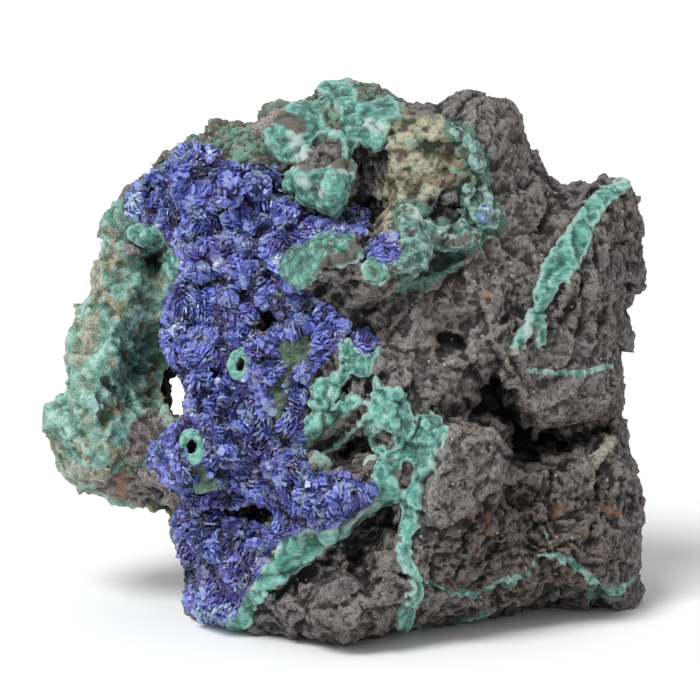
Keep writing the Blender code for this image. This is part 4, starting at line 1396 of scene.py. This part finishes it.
def new_group(name, inputs, outputs):
    """A shader node group with named inputs (name, default) and outputs (name, kind)."""
    tree = bpy.data.node_groups.new(name, "ShaderNodeTree")
    for label, default in inputs:
        kind = "NodeSocketColor" if isinstance(default, tuple) else "NodeSocketFloat"
        socket = tree.interface.new_socket(name=label, in_out="INPUT", socket_type=kind)
        socket.default_value = (*default, 1) if isinstance(default, tuple) else default
    for label, kind in outputs:
        tree.interface.new_socket(name=label, in_out="OUTPUT", socket_type="NodeSocket" + kind)
    return tree, tree.nodes.new("NodeGroupInput").outputs, tree.nodes.new("NodeGroupOutput")


def placed(tree, group, **inputs):
    made = tree.nodes.new("ShaderNodeGroup")
    made.node_tree = group
    for key, value in inputs.items():
        feed(tree, made.inputs[key.replace("_", " ")], value)
    return made.outputs


# %% [markdown]
# ## Shared effects
#
# Three effects return in the finishes. `patch` turns a distance in millimetres into a mask whose edge
# wanders as a mineral's does. `grain` gives a mineral its mottling and its fine crystals. The third finds
# what stands proud or lies deep: the deep places get painted shade, and what stands proud is made
# lighter, partly as wear and partly as a painted highlight.

# %% Patch, grain, and painted hollow shade and wear
PATCH, given, result = new_group(
    "patch", [("Distance", 0.0), ("Wander", 1.0), ("Size", 2.0), ("Softness", 0.25)], [("Mask", "Float")])
wandering = mathed(PATCH, "SUBTRACT", noise(PATCH, place_of(PATCH), given["Size"], 5, 0.65), 0.5)
wandered = mathed(PATCH, "MULTIPLY_ADD", wandering, given["Wander"], given["Distance"])
low = mathed(PATCH, "MULTIPLY", given["Softness"], -1.0)
feed(PATCH, result.inputs["Mask"], stepped(PATCH, wandered, low, given["Softness"]))

GRAIN, given, result = new_group(
    "grain", [("Size", 1.0)], [("Mottle", "Float"), ("Fine", "Float"), ("Height", "Float")])
place = place_of(GRAIN)
mottle = noise(GRAIN, place, given["Size"], 6, 0.65)
fine = noise(GRAIN, place, mathed(GRAIN, "MULTIPLY", given["Size"], 0.22), 3, 0.7)
feed(GRAIN, result.inputs["Mottle"], stepped(GRAIN, mottle, 0.3, 0.7))
feed(GRAIN, result.inputs["Fine"], stepped(GRAIN, fine, 0.3, 0.7))
feed(GRAIN, result.inputs["Height"], mathed(GRAIN, "MULTIPLY_ADD", fine, 1.5, mottle))

# Shade: painted shade in the deep places. Edge: lighter where the surface stands proud, partly wear and
# partly a painted highlight.
HOLLOW_SHADE_AND_WEAR, given, result = new_group(
    "hollow_shade_and_wear", [("Height", 0.0), ("Deep", -1.0), ("Proud", 0.6)], [("Shade", "Float"), ("Edge", "Float")])
feed(HOLLOW_SHADE_AND_WEAR, result.inputs["Shade"], stepped(HOLLOW_SHADE_AND_WEAR, given["Height"], given["Deep"], given["Proud"]))
half = mathed(HOLLOW_SHADE_AND_WEAR, "MULTIPLY", given["Proud"], 0.3)
feed(HOLLOW_SHADE_AND_WEAR, result.inputs["Edge"], stepped(HOLLOW_SHADE_AND_WEAR, given["Height"], half, given["Proud"]))


def mask_of(tree, field, wander, size, softness):
    """A patch wherever one of the piece's fields is above zero."""
    inputs = {"Distance": attribute(tree, field), "Wander": wander, "Size": size, "Softness": softness}
    return placed(tree, PATCH, **inputs)["Mask"]


def laid(tree, colour, mask, share, over):
    """Lays another colour over a share of the mask."""
    return mixed(tree, mathed(tree, "MULTIPLY", mask, share), colour, over)


def shaded_in_hollows(tree, colour, sound, share, deep):
    """Painted shade: takes the colour a share of the way to a dark one in the hollows, and keeps it where the
    mask `sound` is 1.
    """
    return mixed(tree, sound, mixed(tree, share, colour, deep), colour)


def blotches(tree, place, size, detail, roughness, low, high):
    """Blotches of noise with edges as sharp as low and high are near each other."""
    return stepped(tree, noise(tree, place, size, detail, roughness), low, high)


def bumped(tree, height, depth):
    """A Bump node: the height's full range is worth a depth in millimetres."""
    inputs = {"Height": height, "Distance": depth * MM, "Strength": 1.0}
    return node(tree, "Bump", inputs).outputs["Normal"]


# %% [markdown]
# ## Finish of the rock
#
# The rock is a dark grey-brown, and its holes and hollows are painted nearly black as shade. What stands
# proud is lighter, partly as wear and partly as a painted highlight, and the clean faces that face the
# light are painted lighter. It is speckled with paler grains, and stained: a moss-green coat of malachite
# on the arm, ochre limonite on the upper face, thin green veins, cream and rust.

# %% Rock finish
ROCK_DARK, ROCK_MID, ROCK_LIGHT = (0.018, 0.016, 0.016), (0.070, 0.063, 0.063), (0.36, 0.34, 0.335)


def rock_finish():
    made, tree, shader = material_of("pitted iron oxide rock", 0.8, Specular_IOR_Level=0.35)
    place = place_of(tree)
    grain = placed(tree, GRAIN, Size=2.4)
    broad = noise(tree, place, 11.0, 4, 0.6)
    hollow_shade_and_wear = placed(tree, HOLLOW_SHADE_AND_WEAR, Height=attribute(tree, "relief"), Deep=-0.9, Proud=0.5)
    sharp = placed(tree, HOLLOW_SHADE_AND_WEAR, Height=attribute(tree, "proud"), Deep=-0.22, Proud=0.2)
    tone = mathed(tree, "MULTIPLY_ADD", grain["Mottle"], 0.2, mathed(tree, "MULTIPLY", grain["Fine"], 0.5))
    # What stands proud is lighter: partly wear, partly a painted highlight.
    tone = mathed(tree, "MULTIPLY_ADD", sharp["Edge"], 0.25, tone)
    # Painted light: the clean faces that face the light are made lighter.
    dust = mask_of(tree, "lit_faces_painted", 6.0, 6.0, 3.0)
    tone = mathed(tree, "MULTIPLY_ADD", dust, 0.26, tone, clamp=True)
    colour = mixed(tree, tone, ROCK_MID, ROCK_LIGHT)
    crumbs = stepped(tree, noise(tree, place, 0.9, 3, 0.8), 0.38, 0.46, 0.3, 1.0)
    colour = mixed(tree, crumbs, ROCK_DARK, colour)
    warm = mixed(tree, stepped(tree, broad, 0.45, 0.62), colour, (1.0, 0.86, 0.76), "MULTIPLY")
    colour = mixed(tree, 0.5, colour, warm)
    # Painted shade: the deep places of the relief and the small pits go towards ROCK_DARK.
    dark = mathed(tree, "MULTIPLY", hollow_shade_and_wear["Shade"], stepped(tree, sharp["Shade"], 0.0, 0.7, 0.35, 1.0))
    colour = mixed(tree, dark, ROCK_DARK, colour)
    # The striated lower right is tinted brown and darkened; the darkening is painted shade.
    grooved = mask_of(tree, "grooved", 8.0, 5.0, 2.0)
    shaded_brown = mixed(tree, 1.0, colour, (0.76, 0.67, 0.62), "MULTIPLY")
    colour = laid(tree, colour, grooved, 0.8, shaded_brown)
    unlit = mask_of(tree, "unlit", 3.0, 3.0, 1.5)
    colour = laid(tree, colour, unlit, 0.75, ROCK_DARK)
    # Every coat and stain below is also darkened in the rock's hollows by the `dark` mask: painted shade.
    # Moss-green coat of the arm, mottled with ochre and cream.
    arm = mask_of(tree, "arm", 4.0, 3.0, 0.5)
    teal = mixed(tree, blotches(tree, place, 3.4, 5, 0.7, 0.36, 0.62), (0.15, 0.38, 0.30), (0.48, 0.75, 0.66))
    ochre = mixed(tree, grain["Fine"], (0.20, 0.18, 0.11), (0.56, 0.50, 0.34))
    coat = mixed(tree, blotches(tree, place, 6.5, 6, 0.72, 0.49, 0.60), teal, ochre)
    coat = mixed(tree, blotches(tree, place, 2.2, 4, 0.7, 0.60, 0.70), coat, (0.16, 0.12, 0.10))
    coat = mixed(tree, blotches(tree, place, 3.0, 5, 0.75, 0.58, 0.68), coat, (0.66, 0.70, 0.61))
    coat = shaded_in_hollows(tree, coat, dark, 0.6, (0.04, 0.10, 0.075))
    colour = mixed(tree, arm, colour, coat)
    # The mottled rim at the top.
    moss = mask_of(tree, "moss", 4.0, 4.0, 0.6)
    patchy = blotches(tree, place, 3.2, 6, 0.75, 0.42, 0.56)
    moss_colour = mixed(tree, patchy, (0.16, 0.13, 0.11), (0.20, 0.38, 0.30))
    moss_colour = mixed(tree, stepped(tree, grain["Mottle"], 0.6, 1.0), moss_colour, (0.34, 0.42, 0.34))
    moss_colour = shaded_in_hollows(tree, moss_colour, dark, 0.8, ROCK_DARK)
    colour = mixed(tree, moss, colour, moss_colour)
    # Ochre face.
    face = mask_of(tree, "ochre", 3.0, 3.0, 0.5)
    olive = mixed(tree, blotches(tree, place, 4.0, 5, 0.7, 0.4, 0.6), (0.28, 0.24, 0.165), (0.55, 0.54, 0.39))
    olive = mixed(tree, blotches(tree, place, 2.6, 5, 0.7, 0.56, 0.64), olive, (0.26, 0.47, 0.39))
    olive = mixed(tree, blotches(tree, place, 1.6, 4, 0.7, 0.62, 0.70), olive, (0.52, 0.52, 0.44))
    olive = shaded_in_hollows(tree, olive, dark, 0.85, (0.045, 0.035, 0.02))
    colour = mixed(tree, face, colour, olive)
    # Teal stains, brown breaks, cream, rust, and the thin veins over all of them.
    teal_mask = mask_of(tree, "teal", 2.4, 1.6, 0.4)
    stain = mixed(tree, grain["Fine"], (0.05, 0.13, 0.10), (0.16, 0.36, 0.28))
    stain = shaded_in_hollows(tree, stain, dark, 0.8, ROCK_DARK)
    colour = laid(tree, colour, teal_mask, 0.85, stain)
    brown = mask_of(tree, "brown", 3.0, 2.5, 0.5)
    broken = mixed(tree, grain["Fine"], (0.19, 0.16, 0.155), (0.54, 0.48, 0.465))
    broken = shaded_in_hollows(tree, broken, dark, 0.8, ROCK_DARK)
    colour = mixed(tree, brown, colour, broken)
    cream = mask_of(tree, "cream", 4.0, 2.0, 0.4)
    pale = mixed(tree, grain["Fine"], (0.28, 0.27, 0.19), (0.70, 0.71, 0.60))
    pale = shaded_in_hollows(tree, pale, dark, 0.5, ROCK_DARK)
    colour = laid(tree, colour, cream, 0.8, pale)
    rust = mask_of(tree, "rust", 3.6, 1.6, 0.7)
    colour = laid(tree, colour, rust, 0.6, (0.33, 0.17, 0.09))
    vein = mask_of(tree, "vein", 1.1, 1.6, 0.2)
    mint = mixed(tree, stepped(tree, grain["Mottle"], 0.2, 0.8), (0.08, 0.26, 0.21), (0.48, 0.70, 0.64))
    colour = laid(tree, colour, vein, 0.9, mint)
    # Stray pale grains.
    specks = cells(tree, place, 1.5)
    speck = stepped(tree, specks.outputs["Distance"], 0.26, 0.14)
    lot = node(tree, "SeparateColor", {"Color": specks.outputs["Color"]}).outputs[0]
    rare = stepped(tree, lot, 0.80, 0.90)
    colour = mixed(tree, mathed(tree, "MULTIPLY", speck, rare), colour, (0.46, 0.44, 0.41))
    feed(tree, shader.inputs["Base Color"], colour)
    pits = stepped(tree, cells(tree, place, 0.75).outputs["Distance"], 0.12, 0.42)
    height = mathed(tree, "MULTIPLY_ADD", pits, 0.35, grain["Height"])
    feed(tree, shader.inputs["Normal"], bumped(tree, height, 0.5))
    return made


rock.data.materials.append(rock_finish())

# %% [markdown]
# ## Finish of the malachite
#
# Malachite here is a mint-green velvet of very fine fibres. It is deep green where it is thick and
# sound, paler where it is crushed, and nearly white along its thin edges, with the rock showing
# through in small brown specks.

# %% Malachite finish
def malachite_finish(name, deep, mid, pale, brown_share, fibre=(1.0, 1.0, 1.0), roughness=0.55):
    made, tree, shader = material_of(name, roughness, Specular_IOR_Level=0.45, Sheen_Weight=0.1)
    place = place_of(tree)
    grain = placed(tree, GRAIN, Size=1.1)
    broad = noise(tree, place, 5.0, 5, 0.65)
    hollow_shade_and_wear = placed(tree, HOLLOW_SHADE_AND_WEAR, Height=attribute(tree, "relief"), Deep=-0.8, Proud=0.5)
    sharp = placed(tree, HOLLOW_SHADE_AND_WEAR, Height=attribute(tree, "proud"), Deep=-0.2, Proud=0.2)
    stretched_place = node(tree, "Mapping", {"Vector": place, "Scale": fibre}, vector_type="POINT").outputs[0]
    fibres = noise(tree, stretched_place, 0.9, 3, 0.6)
    colour = mixed(tree, stepped(tree, broad, 0.36, 0.60), deep, mid)
    light = mathed(tree, "MULTIPLY", stepped(tree, fibres, 0.42, 0.62), 0.5)
    # What stands proud is lighter: partly wear, partly a painted highlight.
    light = mathed(tree, "MULTIPLY_ADD", sharp["Edge"], 0.5, light)
    colour = mixed(tree, light, colour, pale)
    outside = mathed(tree, "SUBTRACT", 0.5, attribute(tree, "inside"))
    edge = placed(tree, PATCH, Distance=outside, Wander=2.2, Size=2.4, Softness=0.4)
    colour = laid(tree, colour, edge["Mask"], 0.5, (0.47, 0.60, 0.53))
    whites = blotches(tree, place, 2.4, 6, 0.8, 0.57, 0.68)
    colour = laid(tree, colour, whites, 0.7, (0.66, 0.80, 0.76))
    low, high = 0.66 - 0.13 * brown_share, 0.73 - 0.13 * brown_share
    specks = stepped(tree, noise(tree, place, 3.2, 7, 0.8), low, high)
    earth = mixed(tree, grain["Fine"], (0.045, 0.035, 0.03), (0.17, 0.135, 0.115))
    colour = laid(tree, colour, specks, 0.95, earth)
    white = mask_of(tree, "pale", 3.0, 1.6, 0.4)
    colour = laid(tree, colour, white, 0.75, (0.66, 0.78, 0.74))
    broken = mask_of(tree, "brown", 3.0, 2.0, 0.4)
    colour = laid(tree, colour, broken, 0.9, mixed(tree, 0.5, earth, (0.20, 0.16, 0.14)))
    # Painted shade: the crust's deep places go nearly black-green.
    hollow = mathed(tree, "MULTIPLY", hollow_shade_and_wear["Shade"], stepped(tree, sharp["Shade"], 0.0, 0.7, 0.3, 1.0))
    colour = shaded_in_hollows(tree, colour, hollow, 0.85, (0.012, 0.04, 0.03))
    feed(tree, shader.inputs["Base Color"], colour)
    dullness = stepped(tree, grain["Fine"], 0.0, 1.0, roughness + 0.15, roughness - 0.1)
    feed(tree, shader.inputs["Roughness"], dullness)
    height = mathed(tree, "MULTIPLY_ADD", fibres, 0.7, grain["Height"])
    feed(tree, shader.inputs["Normal"], bumped(tree, height, 0.3))
    return made


# Deep, middle and pale green, the share of brown, the stretch of the fibres, and the roughness.
GREENS = {
    "mint malachite": ((0.026, 0.175, 0.125), (0.12, 0.44, 0.345), (0.40, 0.76, 0.67), 0.8),
    "ledge malachite": ((0.018, 0.15, 0.10), (0.07, 0.34, 0.25), (0.32, 0.62, 0.53), 1.1, (1.0, 1.0, 0.3)),
    "banded malachite": (
        (0.028, 0.22, 0.15), (0.11, 0.44, 0.34), (0.43, 0.76, 0.68), 0.3, (0.35, 1.0, 1.0), 0.45,
    ),
    "teal malachite": ((0.03, 0.13, 0.105), (0.12, 0.34, 0.29), (0.40, 0.66, 0.60), 1.2),
    "grey-green malachite": ((0.10, 0.20, 0.16), (0.24, 0.40, 0.33), (0.42, 0.58, 0.50), 0.5),
    "pale malachite": ((0.22, 0.40, 0.34), (0.40, 0.60, 0.52), (0.62, 0.76, 0.70), 0.2),
}
greens = {name: malachite_finish(name, *looks) for name, looks in GREENS.items()}
CRUST_GREENS = {
    "malachite_ledge_crust": "ledge malachite", "malachite_rim_band": "banded malachite",
    "malachite_right_vein": "banded malachite", "malachite_lip": "teal malachite",
}
for name, piece in crusts.items():
    piece.data.materials.append(greens[CRUST_GREENS.get(name, "mint malachite")])
GROWTH_GREENS = {"ring": "mint malachite", "cap": "pale malachite"}
for name, piece in growths.items():
    piece.data.materials.append(greens[GROWTH_GREENS.get(name.split("_")[0], "grey-green malachite")])

# %% [markdown]
# ## Finish of the azurite
#
# Azurite is a clear deep blue crystal with a glassy shine. Each plate has its own shade from nearly
# black to violet-blue: partly at random, and partly painted light and shade, lighter on proud places
# and darker in hollows. Pale dust and brown clay lie over it in blotches, and it has small white flecks.

# %% Azurite finish
def azurite_finish():
    made, tree, shader = material_of("azurite crystal", 0.3, IOR=1.65)
    place = place_of(tree)
    own = attribute(tree, "crystal")
    broad = noise(tree, place, 7.0, 4, 0.6)
    colour = mixed(tree, stepped(tree, own, 0.1, 0.85), (0.008, 0.010, 0.036), (0.058, 0.086, 0.37))
    violet = mixed(tree, stepped(tree, own, 0.2, 1.0), (0.045, 0.035, 0.15), (0.17, 0.13, 0.46))
    colour = mixed(tree, stepped(tree, broad, 0.44, 0.60, 0.0, 0.75), colour, violet)
    # The lightest plates turn violet-blue; their lightness is partly painted light.
    brightest_plates = stepped(tree, own, 0.74, 0.90)
    colour = laid(tree, colour, brightest_plates, 0.7, (0.26, 0.31, 0.78))
    dust = blotches(tree, place, 3.2, 6, 0.75, 0.49, 0.60)
    dusty = mathed(tree, "MULTIPLY", dust, stepped(tree, own, 0.25, 0.7, 0.15, 0.8))
    colour = mixed(tree, dusty, colour, (0.35, 0.42, 0.53))
    clay = blotches(tree, place, 3.6, 6, 0.8, 0.62, 0.70)
    colour = laid(tree, colour, clay, 0.6, (0.16, 0.13, 0.12))
    white = blotches(tree, place, 1.1, 3, 0.7, 0.66, 0.72)
    colour = laid(tree, colour, white, 0.8, (0.62, 0.63, 0.74))
    frost = stepped(tree, own, 1.5, 2.5)
    colour = mixed(tree, frost, colour, (0.42, 0.58, 0.76))
    feed(tree, shader.inputs["Base Color"], colour)
    streaks = noise(tree, place, 0.35, 2, 0.6)
    feed(tree, shader.inputs["Roughness"], stepped(tree, streaks, 0.3, 0.7, 0.16, 0.5))
    feed(tree, shader.inputs["Normal"], bumped(tree, streaks, 0.08))
    return made


def bed_finish():
    made, tree, shader = material_of("azurite bed", 0.6)
    place = place_of(tree)
    grain = placed(tree, GRAIN, Size=1.2)
    sound = mixed(tree, grain["Fine"], (0.016, 0.017, 0.055), (0.05, 0.06, 0.20))
    # Painted shade: the bed's hollows go nearly black.
    hollow = placed(tree, HOLLOW_SHADE_AND_WEAR, Height=attribute(tree, "proud"), Deep=-0.3, Proud=0.15)["Shade"]
    dark = mixed(tree, hollow, (0.006, 0.006, 0.014), sound)
    green = mask_of(tree, "green", 2.0, 2.2, 0.4)
    bare = mixed(tree, grain["Mottle"], (0.05, 0.10, 0.07), (0.20, 0.30, 0.22))
    bare = mixed(tree, blotches(tree, place, 1.8, 5, 0.7, 0.52, 0.62), bare, (0.10, 0.08, 0.065))
    feed(tree, shader.inputs["Base Color"], mixed(tree, green, dark, bare))
    feed(tree, shader.inputs["Normal"], bumped(tree, grain["Height"], 0.3))
    return made


bed.data.materials.append(bed_finish())
blue = azurite_finish()
for name in ("azurite_top", "azurite_column", "azurite_foot"):
    bpy.data.objects[name].data.materials.append(blue)

# The form has served for every piece, and goes.
bpy.data.objects.remove(form)

# %% [markdown]
# ## Floor, light and camera
#
# The specimen stands on white paper in a white room, with one soft light from the upper left. The
# camera looks square onto the leaning plane from far off, so the outlines keep their true shape.

# %% Floor and light
bpy.ops.mesh.primitive_plane_add(size=8)
floor = bpy.context.object
floor.name = "floor"
paper = bpy.data.materials.new("paper")
paper.use_nodes = True
sheet = paper.node_tree.nodes["Principled BSDF"].inputs
sheet["Base Color"].default_value = (0.9, 0.9, 0.9, 1)
sheet["Roughness"].default_value = 0.9
floor.data.materials.append(paper)

world = bpy.data.worlds.new("studio")
bpy.context.scene.world = world
world.use_nodes = True
sky = world.node_tree.nodes["Background"].inputs
sky["Color"].default_value = (1, 1, 1, 1)
sky["Strength"].default_value = 0.6

sun = bpy.data.lights.new("key", "SUN")
sun.energy, sun.angle = 2.5, math.radians(25)
key = bpy.data.objects.new("key", sun)
bpy.context.scene.collection.objects.link(key)
key.rotation_euler = Vector((0.35, 0.45, -0.85)).to_track_quat("-Z", "Y").to_euler()

# %% Camera
# In millimetres: how wide the view is at the specimen, the camera's distance, the width of its
# sensor, and where it looks on the leaning plane.
VIEW_WIDTH = 140.0
DISTANCE = 1200.0
SENSOR = 36
CENTRE = [1.0, 0.0, 53.8]
centre = Vector(to_frame(CENTRE)[0])
back = Vector((0, -math.cos(LEAN), math.sin(LEAN)))
bpy.ops.object.camera_add(location=centre + back * DISTANCE * MM)
camera = bpy.context.object
camera.rotation_euler = (-back).to_track_quat("-Z", "Y").to_euler()
camera.data.sensor_width = SENSOR
camera.data.lens = SENSOR * DISTANCE / VIEW_WIDTH
bpy.context.scene.camera = camera
bpy.context.scene.view_settings.view_transform = "Standard"
